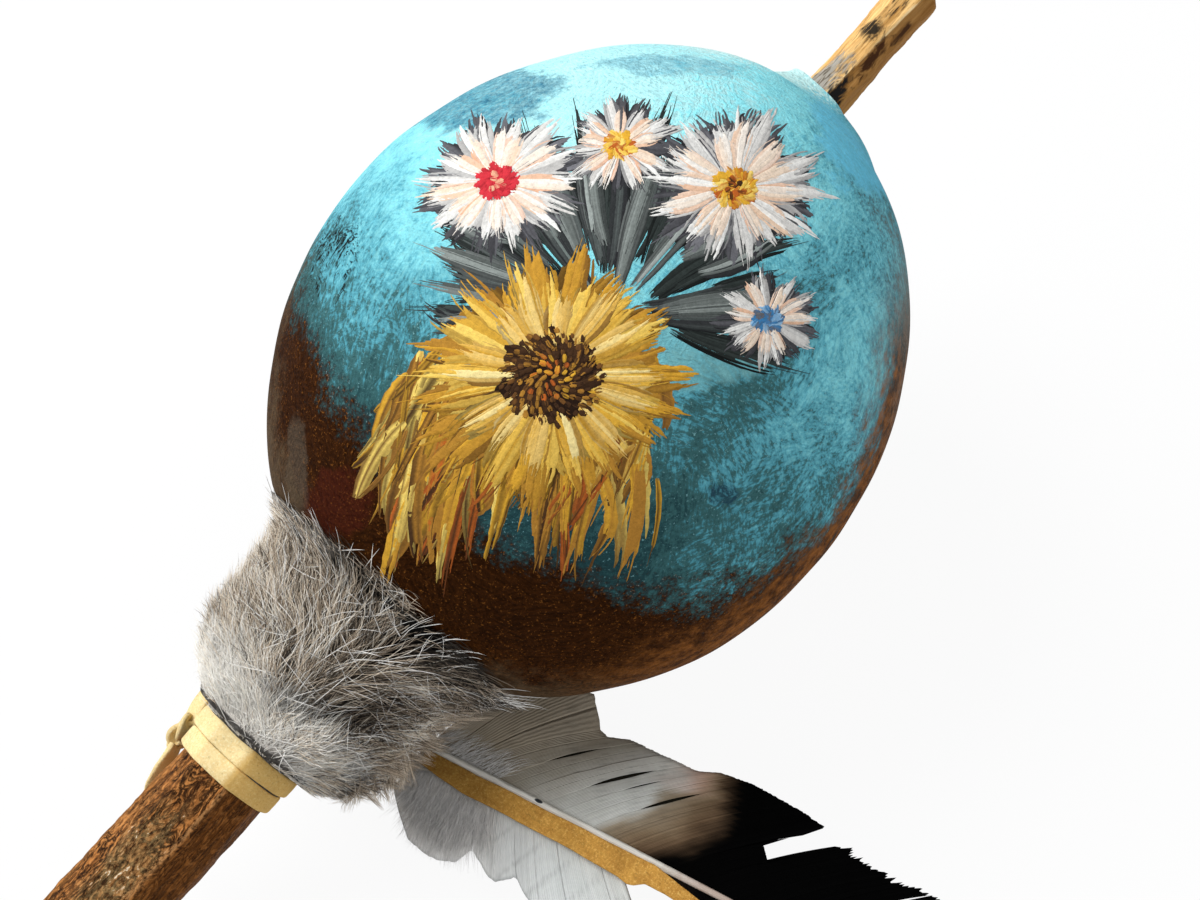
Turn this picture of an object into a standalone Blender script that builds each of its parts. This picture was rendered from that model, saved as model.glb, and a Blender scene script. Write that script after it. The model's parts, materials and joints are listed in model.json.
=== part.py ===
"""Gourd rattle lying on a table: a hollow gourd on a whittled stick, with loose pebbles inside,
a fur collar bound on with suede lace, and a feather on a suede thong.

Metres, +Z up. The origin is the centre of the flat ground spot that the gourd rests on.
Along the stick, a place is given as its distance from the gourd's widest section,
positive towards the tip. In the stick's own frame +Z runs to the tip and +X points at the table.
"""

import math

import bmesh
import bpy
import numpy as np
from mathutils import Matrix, Vector

MM = 0.001

# Gourd
GOURD_RADIUS = 71.5 * MM
GOURD_TOP = 86 * MM
GOURD_TOP_FULLNESS = 1.88
GOURD_BASE = 83 * MM
GOURD_WALL = 4.5 * MM
GROUND_SPOT_DEPTH = 1.5 * MM
NECK_FOOT = 78 * MM
NECK_RIM = 90 * MM
NECK_RADIUS = 9.6 * MM
NECK_LEAN = 2.2 * MM
NECK_LEAN_START = 6 * MM
TOP_HOLE_RADIUS = 7.9 * MM
BASE_HOLE_RADIUS = 12.2 * MM
GLUE_CROWN = 0.5 * MM
TIP_GLUE_DEPTH = 5 * MM
BASE_GLUE = (0.8 * MM, 4.6 * MM)
GOURD_SIDES = 48

# Stick
BUTT = -243 * MM
TIP = 128 * MM
SHOULDER = -82.6 * MM
HANDLE_RADIUS = 12.2 * MM
GRIP_RADIUS = 12.6 * MM
SPINDLE_BASE_RADIUS = 9.6 * MM
SPINDLE_TOP_RADIUS = 6.3 * MM
CHAMFER = 1.4 * MM
STICK_FACETS = 8
FACET_UNEVENNESS = 0.035

# Fur collar and its binding
GAP = 0.35 * MM
CUFF_END = -129.5 * MM
CUFF_TOP = -117 * MM
CUFF_RADIUS = 14.1 * MM
FUR_RADIUS = 31.5 * MM
FUR_SWELL = 24 * MM
FUR_LIP = 3 * MM
FUR_TOP = -72 * MM
LACE_WIDTH = 4.8 * MM
LACE_THICKNESS = 1.6 * MM
LACE_PITCH = 5.3 * MM
LACE_FIRST = -125.9 * MM
LACE_TURNS = 1.76
LACE_CLIMB = (0.80, 0.95)
LACE_POINTS_A_TURN = 48
KNOT_ANGLE = math.radians(84)
KNOT_TUBE = 2.5 * MM
KNOT_SIZE = 1.45 * MM
KNOT_DEPTH = 1.3 * MM
LOWER_TAIL = ((2.0, 16.0, -131.0), (1.6, 14.9, -134.2), (2.4, 14.4, -137.4), (4.8, 14.3, -140.8),
              (8.8, 14.4, -143.9), (13.8, 14.3, -146.5), (19.4, 13.6, -148.5), (25.4, 12.6, -149.8))
UPPER_TAIL = ((2.0, 18.9, -115.4), (3.2, 20.3, -112.6), (5.6, 22.5, -109.8), (9.3, 24.3, -107.0),
              (13.8, 24.9, -104.4), (18.9, 24.2, -102.0), (23.2, 22.4, -100.0), (26.5, 20.0, -98.6))

# Feather, in its own frame: x along the shaft from where the thong leaves the fur, y across, z up
FEATHER_LENGTH = 158 * MM
FEATHER_PLACE = -95 * MM
FEATHER_ACROSS = (21 * MM, 27.4 * MM)
SHAFT_RADIUS = 1.7 * MM
SHAFT_OFFSET = 1.2 * MM
VANE_THICKNESS = 0.8 * MM
FEATHER_HEADING = (0.272, -0.944)
FEATHER_LEAN = 0.10
TIP_HEIGHT = 4.2 * MM
FEATHER_BOW = 3 * MM
VANE_CURL = 1.5 * MM
DOWN_CENTRE = (17.5 * MM, -9.5 * MM, -1.3 * MM)
DOWN_SIZE = (11.5 * MM, 9.2 * MM, 1.6 * MM)
DOWN_LEAN = 4 * MM
THONG_START = 2.6 * MM
THONG_LENGTH = 82 * MM
THONG_WIDTH = 7.6 * MM
THONG_THICKNESS = 1.3 * MM

# Each vane: where its barbs start and end on the shaft, how far they sweep forward, and a table of how far
# they reach across, in millimetres, by where they are rooted; the dips are splits and missing barbs
VANES = {
    1: {"rooted": (5, 155), "sweep": 1.12, "reach": (
        (5, 23), (11, 23.5), (19, 26.5), (33, 27), (40, 30), (53, 29.5), (64, 29), (67, 15), (74, 15.5),
        (77, 27), (85, 25.5), (97, 26.5), (120, 24), (138, 17), (150, 9), (158, 3))},
    -1: {"rooted": (24, 155), "sweep": 0.86, "reach": (
        (24, 18), (31, 21), (40, 26), (53, 27), (56, 2.5), (76, 2.5), (79, 24), (90, 26), (110, 25),
        (126, 22), (140, 16), (151, 9), (158, 3))},
}

# Pebbles
PEBBLE_COUNT = 10
PEBBLE_RADIUS = 3.9 * MM
PEBBLE_SPACING = 6.2 * MM
GOLDEN_ANGLE = math.radians(137.508)

MATERIALS = {
    "painted_gourd": ((0.10, 0.32, 0.38), 0.55),
    "dark_wood": ((0.23, 0.10, 0.035), 0.6),
    "glue": ((0.30, 0.20, 0.09), 0.4),
    "fur": ((0.30, 0.27, 0.25), 0.9),
    "suede": ((0.78, 0.60, 0.32), 0.9),
    "brown_suede": ((0.50, 0.29, 0.09), 0.9),
    "quill": ((0.80, 0.76, 0.66), 0.4),
    "feather": ((0.62, 0.62, 0.60), 0.75),
    "stone": ((0.35, 0.33, 0.30), 0.7),
}


# Scene, materials and small helpers


def start_scene():
    """Empties the scene and returns the two collections that the objects go in."""
    for obj in list(bpy.data.objects):
        bpy.data.objects.remove(obj)
    made = []
    for name in ("gourd_rattle", "cutters"):
        collection = bpy.data.collections.new(name)
        bpy.context.scene.collection.children.link(collection)
        made.append(collection)
    return made


def material(name):
    """The material of that name, made the first time that it is asked for."""
    found = bpy.data.materials.get(name)
    if found:
        return found
    colour, roughness = MATERIALS[name]
    made = bpy.data.materials.new(name)
    made.use_nodes = True
    shader = made.node_tree.nodes["Principled BSDF"]
    shader.inputs["Base Color"].default_value = (*colour, 1)
    shader.inputs["Roughness"].default_value = roughness
    shader.inputs["Metallic"].default_value = 0
    made.diffuse_color = (*colour, 1)
    return made


def add_object(name, data, collection, parent, finish=None):
    """A new object under its parent, in that collection."""
    obj = bpy.data.objects.new(name, data)
    collection.objects.link(obj)
    obj.parent = parent
    if finish:
        data.materials.append(material(finish))
    return obj


def add_frame(name, collection, matrix):
    """An empty whose axes a group of pieces is placed by."""
    empty = add_object(name, None, collection, None)
    empty.matrix_world = matrix
    return empty


def turned(name, profile, sides, collection, parent, finish, closed=False):
    """A turned shape: profile points (radius, height), run down its outer side, about Z."""
    mesh = bpy.data.meshes.new(name)
    points = [(radius, 0, height) for radius, height in profile]
    edges = [(i, i + 1) for i in range(len(points) - 1)]
    if closed:
        edges.append((len(points) - 1, 0))
    mesh.from_pydata(points, edges, [])
    obj = add_object(name, mesh, collection, parent, finish)
    screw = obj.modifiers.new("turn", "SCREW")
    screw.axis = "Z"
    screw.steps = sides
    screw.render_steps = sides
    screw.use_merge_vertices = True
    screw.merge_threshold = 0.00001
    screw.use_smooth_shade = sides > STICK_FACETS
    return obj


def made_mesh(obj):
    """Turns an object's modifiers or curve into its own welded mesh, in a new object in its place."""
    bpy.context.view_layer.update()
    graph = bpy.context.evaluated_depsgraph_get()
    mesh = bpy.data.meshes.new_from_object(obj.evaluated_get(graph))
    shape = bmesh.new()
    shape.from_mesh(mesh)
    bmesh.ops.remove_doubles(shape, verts=shape.verts, dist=0.00001)
    shape.to_mesh(mesh)
    shape.free()
    name, collection, parent = obj.name, obj.users_collection[0], obj.parent
    bpy.data.objects.remove(obj)
    return add_object(name, mesh, collection, parent)


def ribbon(name, points, width, collection, parent, finish, tilts=None):
    """A flat lace along a line of points, its width along the frame's Z unless a tilt turns it."""
    curve = bpy.data.curves.new(name, "CURVE")
    curve.dimensions = "3D"
    curve.twist_mode = "Z_UP"
    curve.fill_mode = "FULL"
    curve.use_fill_caps = True
    curve.bevel_depth = LACE_THICKNESS / 2
    curve.bevel_resolution = 0
    curve.extrude = (width - LACE_THICKNESS) / 2
    spline = curve.splines.new("POLY")
    spline.points.add(len(points) - 1)
    for i, point in enumerate(points):
        spline.points[i].co = (*point, 1)
        if tilts is not None:
            spline.points[i].tilt = tilts[i]
    return add_object(name, curve, collection, parent, finish)


def tube(name, points, radii, collection, parent, finish, resolution=1, cyclic=False):
    """A round tube along a line of points, with a radius at each."""
    curve = bpy.data.curves.new(name, "CURVE")
    curve.dimensions = "3D"
    curve.fill_mode = "FULL"
    curve.use_fill_caps = True
    curve.bevel_depth = 1.0
    curve.bevel_resolution = resolution
    spline = curve.splines.new("POLY")
    spline.points.add(len(points) - 1)
    spline.use_cyclic_u = cyclic
    for point, place, radius in zip(spline.points, points, radii):
        point.co = (*place, 1)
        point.radius = radius
    return add_object(name, curve, collection, parent, finish)


def smooth_line(points, count):
    """Evenly spaced points on a smooth curve through a route's own points (Catmull-Rom)."""
    points = np.asarray(points, float)
    route = np.vstack([2 * points[0] - points[1], points, 2 * points[-1] - points[-2]])
    fine = []
    for i in range(1, len(route) - 2):
        before, start, end, after = route[i - 1:i + 3]
        for t in np.linspace(0, 1, 24, endpoint=False):
            fine.append(0.5 * (2 * start + (end - before) * t
                               + (2 * before - 5 * start + 4 * end - after) * t ** 2
                               + (3 * start - before - 3 * end + after) * t ** 3))
    fine.append(route[-2])
    fine = np.array(fine)
    along = np.concatenate([[0], np.cumsum(np.linalg.norm(np.diff(fine, axis=0), axis=1))])
    places = np.linspace(0, along[-1], count)
    return np.stack([np.interp(places, along, fine[:, k]) for k in range(3)], axis=1)


def smoothstep(value):
    value = min(max(value, 0.0), 1.0)
    return value * value * (3 - 2 * value)


# How the rattle lies


def corner_radius(index):
    """How far one corner of the whittled stick stands out, as a share of its mean radius."""
    return 1 + FACET_UNEVENNESS * math.sin(2.4 * index + 0.6)


def corner_angle(index):
    """Corners stand either side of the flat that faces the table."""
    return (index + 0.5) * 2 * math.pi / STICK_FACETS


def butt_support():
    """How far the butt's lowest corner is from the stick's axis, measured towards the table."""
    return max(GRIP_RADIUS * corner_radius(i) * math.cos(corner_angle(i)) for i in range(STICK_FACETS))


def gourd_height(tilt):
    """Height of the gourd's widest section over the table, with the ground spot cut off its ellipsoid."""
    return math.hypot(GOURD_BASE * math.sin(tilt), GOURD_RADIUS * math.cos(tilt)) - GROUND_SPOT_DEPTH


def lying_tilt():
    """The slope at which the ground spot and the butt's edge both touch the table, by halving."""
    low, high = 0.0, math.radians(40)
    for _ in range(60):
        tilt = (low + high) / 2
        edge = BUTT + CHAMFER
        butt_height = gourd_height(tilt) + edge * math.sin(tilt) - butt_support() * math.cos(tilt)
        low, high = (tilt, high) if butt_height > 0 else (low, tilt)
    return tilt


def stick_matrix(tilt):
    """The stick's frame: +Z to the tip, +X towards the table, at the gourd's widest section."""
    reach = math.hypot(GOURD_BASE * math.sin(tilt), GOURD_RADIUS * math.cos(tilt))
    ahead = (GOURD_BASE ** 2 - GOURD_RADIUS ** 2) * math.sin(tilt) * math.cos(tilt) / reach
    turn = Matrix.Rotation(math.pi / 2 - tilt, 4, "Y")
    return Matrix.Translation((ahead, 0, gourd_height(tilt))) @ turn


# Gourd and stick


def gourd_half(place, inset):
    """Half length of the gourd on that side of its widest section, and the power of its oval there."""
    if place > 0:
        return GOURD_TOP - inset, GOURD_TOP_FULLNESS
    return GOURD_BASE - inset, 2.0


def gourd_radius_at(place, inset=0.0):
    """Radius of the gourd's outside at a place along the stick, or of a surface that far inside it."""
    half, power = gourd_half(place, inset)
    return (GOURD_RADIUS - inset) * max(0.0, 1 - abs(place / half) ** power) ** (1 / power)


def gourd_arc(start, end, inset, count):
    """Profile points (radius, height) on the gourd's oval between two places along the stick."""
    def angle(place):
        half, power = gourd_half(place, inset)
        return math.acos(math.copysign(abs(place / half) ** (power / 2), place))
    points = []
    for turn in np.linspace(angle(start), angle(end), count):
        upwards = math.cos(turn)
        half, power = gourd_half(upwards, inset)
        height = math.copysign(half * abs(upwards) ** (2 / power), upwards)
        points.append(((GOURD_RADIUS - inset) * math.sin(turn) ** (2 / power), height))
    return points


def neck_curve(foot_radius, rim_radius, count):
    """Profile points from the neck's rim down to the gourd's shoulder, hollow like a bottle's neck."""
    points = []
    for step in np.linspace(0, 1, count, endpoint=False):
        radius = rim_radius + (foot_radius - rim_radius) * step ** 1.8
        points.append((radius, NECK_RIM + (NECK_FOOT - NECK_RIM) * step))
    return points


def hole_place(radius, inset):
    """Where along the stick the gourd's base has that radius."""
    return -(GOURD_BASE - inset) * math.sqrt(1 - (radius / (GOURD_RADIUS - inset)) ** 2)


def make_gourd(parts, cutters, stick_frame):
    """The hollow shell: a turned wall with a hole at each end, a leaning neck and a flat ground spot."""
    outside = neck_curve(gourd_radius_at(NECK_FOOT), NECK_RADIUS, 4)
    outside += gourd_arc(NECK_FOOT, hole_place(BASE_HOLE_RADIUS, 0), 0, 24)
    inner_top = (GOURD_TOP - GOURD_WALL) * 0.985
    inside = gourd_arc(inner_top, hole_place(BASE_HOLE_RADIUS, GOURD_WALL), GOURD_WALL, 18)[::-1]
    bore = [(TOP_HOLE_RADIUS, inner_top + 2 * MM), (TOP_HOLE_RADIUS, NECK_RIM)]
    shell = turned("gourd_shell", outside + inside + bore, GOURD_SIDES, parts, stick_frame,
                   "painted_gourd", closed=True)
    shell = made_mesh(shell)
    for vertex in shell.data.vertices:
        place = vertex.co.z
        bore_side = math.hypot(vertex.co.x, vertex.co.y) < TOP_HOLE_RADIUS + 0.5 * MM
        above_shoulder = place - NECK_FOOT + NECK_LEAN_START
        if above_shoulder > 0 and not bore_side:
            vertex.co.y += NECK_LEAN * smoothstep(above_shoulder / (NECK_RIM - NECK_FOOT))
    table = bmesh.new()
    bmesh.ops.create_cube(table, size=2 * GOURD_RADIUS)
    mesh = bpy.data.meshes.new("table_cutter")
    table.to_mesh(mesh)
    table.free()
    cutter = add_object("table_cutter", mesh, cutters, None)
    cutter.location = (0, 0, -GOURD_RADIUS)
    cutter.hide_render = True
    cutter.display_type = "WIRE"
    cut = shell.modifiers.new("ground_spot", "BOOLEAN")
    cut.operation = "DIFFERENCE"
    cut.object = cutter
    shell.data.shade_smooth()
    shell.data.set_sharp_from_angle(angle=math.radians(40))
    return shell


def stick_profile():
    """Places along the stick, tip to butt, with the mean radius of the whittled section at each."""
    return [
        (SPINDLE_TOP_RADIUS * 0.86, TIP),
        (SPINDLE_TOP_RADIUS * 1.04, TIP - CHAMFER),
        (SPINDLE_TOP_RADIUS * 0.97, 112 * MM),
        (SPINDLE_TOP_RADIUS, NECK_RIM),
        (SPINDLE_TOP_RADIUS * 1.04, NECK_FOOT),
        (SPINDLE_TOP_RADIUS * 1.25, 30 * MM),
        (SPINDLE_BASE_RADIUS * 0.95, -40 * MM),
        (SPINDLE_BASE_RADIUS, SHOULDER + 0.4 * MM),
        (HANDLE_RADIUS * 0.97, SHOULDER - 1.6 * MM),
        (HANDLE_RADIUS * 0.98, CUFF_TOP),
        (HANDLE_RADIUS * 0.97, CUFF_END),
        (HANDLE_RADIUS * 1.01, -150 * MM),
        (HANDLE_RADIUS * 0.99, -178 * MM),
        (HANDLE_RADIUS * 1.02, -205 * MM),
        (GRIP_RADIUS, -228 * MM),
        (GRIP_RADIUS, BUTT + CHAMFER),
        (GRIP_RADIUS * 0.88, BUTT),
    ]


def make_stick(parts, stick_frame):
    """One whittled stick: grip, shoulder under the gourd, and a spindle through it to the tip."""
    profile = [(0, TIP), *stick_profile(), (0, BUTT)]
    stick = made_mesh(turned("handle_stick", profile, STICK_FACETS, parts, stick_frame, "dark_wood"))
    for vertex in stick.data.vertices:
        radius = math.hypot(vertex.co.x, vertex.co.y)
        if radius < 0.1 * MM:
            continue
        index = round(math.atan2(vertex.co.y, vertex.co.x) * STICK_FACETS / (2 * math.pi)) % STICK_FACETS
        angle = corner_angle(index)
        radius *= corner_radius(index)
        vertex.co.x, vertex.co.y = radius * math.cos(angle), radius * math.sin(angle)
    stick.data.shade_flat()
    return stick


def make_glue_collar(name, parts, stick_frame, inner, outer, low, high):
    """A ring of hide glue between the stick and the edge of the gourd's hole, domed outwards."""
    middle = (inner + outer) / 2
    profile = [(inner, high), (middle, high + GLUE_CROWN), (outer, high), (outer, low), (inner, low)]
    return turned(name, profile, 24, parts, stick_frame, "glue", closed=True)


# Fur collar and lace


def fur_radius(place):
    """Outer radius of the fur's mass: it swells from the bound cuff and then lies up against the gourd."""
    swell = smoothstep((place - CUFF_TOP) / FUR_SWELL) ** 0.75
    radius = CUFF_RADIUS + (FUR_RADIUS - CUFF_RADIUS) * swell
    return max(radius, gourd_radius_at(place) + FUR_LIP) if place > -GOURD_BASE else radius


def make_fur(parts, stick_frame):
    """A pelt collar as one soft solid: a bound cuff, a swelling skirt, and a lip against the gourd."""
    bore = HANDLE_RADIUS * (1 + FACET_UNEVENNESS) + GAP
    outside = [(fur_radius(place), place) for place in np.linspace(FUR_TOP, CUFF_TOP, 14)]
    outside += [(CUFF_RADIUS, CUFF_END + 1 * MM), (CUFF_RADIUS - 0.5 * MM, CUFF_END), (bore, CUFF_END)]
    under = []
    for place in np.linspace(-GOURD_BASE * 0.985, FUR_TOP - 1.2 * MM, 8):
        under.append((gourd_radius_at(place) + 2 * GAP, place - 2 * GAP))
    return turned("fur_collar", outside + [(bore, -GOURD_BASE - 2 * GAP)] + under, 32, parts,
                  stick_frame, "fur", closed=True)


def lace_place(turns):
    """Place along the stick of the lace's middle after that many turns: level, with one quick climb."""
    start, end = LACE_CLIMB
    return LACE_FIRST + LACE_PITCH * smoothstep((turns - start) / (end - start))


def make_lace(parts, stick_frame):
    """One lace wound twice round the pelt's cuff, as one unbroken strip."""
    radius = CUFF_RADIUS + GAP + LACE_THICKNESS / 2
    count = round(LACE_TURNS * LACE_POINTS_A_TURN)
    points = []
    for turns in np.linspace(0, LACE_TURNS, count + 1):
        angle = KNOT_ANGLE + 2 * math.pi * (turns + 0.1)
        points.append((radius * math.cos(angle), radius * math.sin(angle), lace_place(turns)))
    points = np.array(points)
    apart = [abs(points[j, 2] - points[i, 2]) - LACE_WIDTH
             for i in range(len(points)) for j in range(i + LACE_POINTS_A_TURN // 2, len(points))
             if np.linalg.norm(points[j, :2] - points[i, :2]) < LACE_WIDTH / 2]
    print(f"lace binding: least gap to itself {min(apart) / MM:.2f} mm")
    return ribbon("lace_binding", points, LACE_WIDTH, parts, stick_frame, "suede")


def make_knot(parts, stick_frame):
    """The lace's overhand knot, a flattened trefoil on the far side of the binding."""
    middle = CUFF_RADIUS + 2 * GAP + LACE_THICKNESS + KNOT_DEPTH + KNOT_TUBE / 2
    outwards = Vector((math.cos(KNOT_ANGLE), math.sin(KNOT_ANGLE), 0))
    round_stick = Vector((-math.sin(KNOT_ANGLE), math.cos(KNOT_ANGLE), 0))
    centre = outwards * middle + Vector((0, 0, LACE_FIRST + LACE_PITCH / 2))
    points = []
    for turn in np.linspace(0, 2 * math.pi, 36, endpoint=False):
        across = KNOT_SIZE * (math.sin(turn) + 2 * math.sin(2 * turn))
        along = KNOT_SIZE * (math.cos(turn) - 2 * math.cos(2 * turn))
        points.append(centre + round_stick * across + Vector((0, 0, along))
                      - outwards * KNOT_DEPTH * math.sin(3 * turn))
    radii = [KNOT_TUBE / 2] * len(points)
    return tube("lace_knot", points, radii, parts, stick_frame, "suede", cyclic=True)


def make_tail(name, route, parts, stick_frame):
    """A loose lace end from the knot, along a route given in millimetres in the stick's frame."""
    points = smooth_line(np.array(route) * MM, 14)
    return ribbon(name, points, LACE_WIDTH, parts, stick_frame, "suede")


# Feather


def feather_matrix(stick):
    """The feather's frame: from the thong's exit out of the fur, down to the table, face up."""
    across, down = FEATHER_ACROSS
    exit_point = stick @ Vector((down, -across, FEATHER_PLACE))
    slope = (TIP_HEIGHT - exit_point.z) / FEATHER_LENGTH
    heading = Vector((*FEATHER_HEADING, 0)).normalized() * math.sqrt(1 - slope ** 2)
    along = Vector((heading.x, heading.y, slope))
    side = Vector((-along.y, along.x, FEATHER_LEAN)).normalized()
    side = (side - along * side.dot(along)).normalized()
    up = along.cross(side)
    columns = Matrix((along, side, up)).transposed().to_4x4()
    return Matrix.Translation(exit_point) @ columns


def shaft_height(along):
    """The shaft's rise over the feather's straight line: a gentle bow, nil at both ends."""
    share = along / FEATHER_LENGTH
    return FEATHER_BOW * 4 * share * (1 - share)


def make_vane(name, side, parts, feather_frame):
    """One side of the feather: a grid from the shaft to the barbs' ends, swept forward, thickened."""
    vane = VANES[side]
    rows, columns = 64, 4
    first, last = vane["rooted"]
    roots, reaches = zip(*vane["reach"])
    shape = bmesh.new()
    bmesh.ops.create_grid(shape, x_segments=rows, y_segments=columns, size=0.5)
    for vertex in shape.verts:
        root = first + (vertex.co.x + 0.5) * (last - first)
        across = SHAFT_RADIUS + GAP + (vertex.co.y + 0.5) * float(np.interp(root, roots, reaches)) * MM
        to_tip = FEATHER_LENGTH - root * MM
        along = root * MM + min(vane["sweep"] * across, to_tip * across / (reaches[0] * MM))
        lift = shaft_height(root * MM) + VANE_CURL * (across / (reaches[0] * MM)) ** 2
        vertex.co = (along, SHAFT_OFFSET + side * across, lift)
    if side > 0:
        bmesh.ops.recalc_face_normals(shape, faces=shape.faces)
    mesh = bpy.data.meshes.new(name)
    shape.to_mesh(mesh)
    shape.free()
    plate = add_object(name, mesh, parts, feather_frame, "feather")
    wall = plate.modifiers.new("thickness", "SOLIDIFY")
    wall.thickness = VANE_THICKNESS
    wall.offset = 0
    return plate


def make_shaft(parts, feather_frame):
    """The feather's shaft, tapering along its bow."""
    points, radii = [], []
    for share in np.linspace(0.004, 1, 22):
        along = share * FEATHER_LENGTH
        points.append((along, SHAFT_OFFSET, shaft_height(along)))
        radii.append(SHAFT_RADIUS * (1 - 0.8 * share ** 1.3))
    return tube("feather_shaft", points, radii, parts, feather_frame, "quill", resolution=2)


def make_down(parts, feather_frame):
    """The fluffy barbs at the feather's foot, as one soft lens beside the shaft."""
    shape = bmesh.new()
    bmesh.ops.create_uvsphere(shape, u_segments=20, v_segments=10, radius=1.0)
    mesh = bpy.data.meshes.new("feather_down")
    shape.to_mesh(mesh)
    shape.free()
    mesh.shade_smooth()
    down = add_object("feather_down", mesh, parts, feather_frame, "feather")
    along, across, above = DOWN_CENTRE
    foot = SHAFT_OFFSET - SHAFT_RADIUS - GAP
    for vertex in mesh.vertices:
        x, y, z = vertex.co
        vertex.co = (along + x * DOWN_SIZE[0] - y * DOWN_LEAN, foot + across + y * DOWN_SIZE[1],
                     shaft_height(along) + above + z * DOWN_SIZE[2])
    return down


def make_thong(parts, feather_frame):
    """The suede thong glued along the shaft: a leaf-shaped strip that ends in a point."""
    shape = bmesh.new()
    bmesh.ops.create_grid(shape, x_segments=26, y_segments=2, size=0.5)
    edge = SHAFT_OFFSET - SHAFT_RADIUS - GAP
    for vertex in shape.verts:
        share = vertex.co.x + 0.5
        along = THONG_START + share * (THONG_LENGTH - THONG_START)
        point = 1 - 0.9 * smoothstep((share - 0.62) / 0.38)
        width = THONG_WIDTH * (0.4 + 0.6 * smoothstep(share / 0.35)) * point
        vertex.co = (along, edge - (vertex.co.y + 0.5) * width, shaft_height(along) + 1.55 * MM)
    mesh = bpy.data.meshes.new("feather_thong")
    shape.to_mesh(mesh)
    shape.free()
    thong = add_object("feather_thong", mesh, parts, feather_frame, "brown_suede")
    wall = thong.modifiers.new("thickness", "SOLIDIFY")
    wall.thickness = THONG_THICKNESS
    wall.offset = 0
    return thong


def make_thong_tie(parts, stick_frame):
    """The thong's tied end: from under the lace, over the fur's underside, to where the feather hangs."""
    across, down = FEATHER_ACROSS
    angle = math.atan2(-across, down)
    points = []
    last = FEATHER_PLACE - 0.9 * MM
    for place in np.linspace(CUFF_TOP + 0.2 * MM, last, 12):
        radius = fur_radius(place) + GAP * 2 + LACE_THICKNESS / 2
        points.append((radius * math.cos(angle), radius * math.sin(angle), place))
    return ribbon("thong_tie", points, LACE_WIDTH, parts, stick_frame, "brown_suede",
                  tilts=[math.pi / 2] * len(points))


# Pebbles


def pebble_bed(stick):
    """Where the pebbles lie: a spiral over the lowest part of the gourd's inside, in world places."""
    centre = stick.translation
    places = []
    for index in range(PEBBLE_COUNT):
        spread = PEBBLE_SPACING * math.sqrt(index + 0.4)
        x, y = spread * math.cos(index * GOLDEN_ANGLE), spread * math.sin(index * GOLDEN_ANGLE)
        inset = GOURD_WALL + PEBBLE_RADIUS * 1.1 + GAP
        height = centre.z
        for _ in range(400):
            local = stick.inverted() @ Vector((x, y, height))
            if math.hypot(local.x, local.y) >= gourd_radius_at(local.z, inset):
                break
            height -= 0.2 * MM
        places.append(Vector((x, y, height)))
    return places


def make_pebbles(parts, stick):
    """Loose river pebbles, each its own uneven shape."""
    for index, place in enumerate(pebble_bed(stick)):
        name = f"pebble_{index + 1:02d}"
        shape = bmesh.new()
        bmesh.ops.create_uvsphere(shape, u_segments=14, v_segments=9, radius=PEBBLE_RADIUS)
        for vertex in shape.verts:
            x, y, z = vertex.co / PEBBLE_RADIUS
            lump = 1 + 0.06 * math.sin(3 * x + index) + 0.05 * math.sin(4 * y + 2 * index)
            vertex.co = Vector((vertex.co.x * 1.02, vertex.co.y * 0.94, vertex.co.z * 0.86)) * lump
        mesh = bpy.data.meshes.new(name)
        shape.to_mesh(mesh)
        shape.free()
        mesh.shade_smooth()
        pebble = add_object(name, mesh, parts, None, "stone")
        pebble.location = place
        pebble.rotation_euler = (0, 0, index * GOLDEN_ANGLE)


def main():
    parts, cutters = start_scene()
    tilt = lying_tilt()
    stick = stick_matrix(tilt)
    stick_frame = add_frame("stick_frame", parts, stick)
    feather = feather_matrix(stick)
    feather_frame = add_frame("feather_frame", parts, feather)

    make_gourd(parts, cutters, stick_frame)
    make_stick(parts, stick_frame)
    most = 1 + FACET_UNEVENNESS
    make_glue_collar("tip_glue_collar", parts, stick_frame, SPINDLE_TOP_RADIUS * most + GAP,
                     TOP_HOLE_RADIUS - GAP, NECK_RIM - TIP_GLUE_DEPTH, NECK_RIM)
    make_glue_collar("base_glue_collar", parts, stick_frame, SPINDLE_BASE_RADIUS * most + GAP,
                     BASE_HOLE_RADIUS - GAP, SHOULDER + BASE_GLUE[0], SHOULDER + BASE_GLUE[1])
    make_fur(parts, stick_frame)
    make_lace(parts, stick_frame)
    make_knot(parts, stick_frame)
    make_tail("lace_tail_lower", LOWER_TAIL, parts, stick_frame)
    make_tail("lace_tail_upper", UPPER_TAIL, parts, stick_frame)
    make_thong_tie(parts, stick_frame)
    make_shaft(parts, feather_frame)
    make_vane("feather_vane_inner", 1, parts, feather_frame)
    make_vane("feather_vane_outer", -1, parts, feather_frame)
    make_down(parts, feather_frame)
    make_thong(parts, feather_frame)
    make_pebbles(parts, stick)
    print(f"lying tilt {math.degrees(tilt):.2f} degrees, gourd centre {tuple(stick.translation)}")
    print(f"thong leaves the fur at {tuple(feather.translation)}")


main()
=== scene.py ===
"""Looks of a gourd rattle that lies on a table: a painted gourd on a whittled stick, a rabbit-fur collar
bound with suede lace, and a feather on a suede thong.

Metres, +Z up. The stick's own frame has x towards the table, y across and z along the stick to its tip,
with its origin at the gourd's widest section. The feather's frame has x along its shaft, y across and z up.
"""

import json
import math

import bpy
import numpy as np
from mathutils import Matrix


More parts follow.
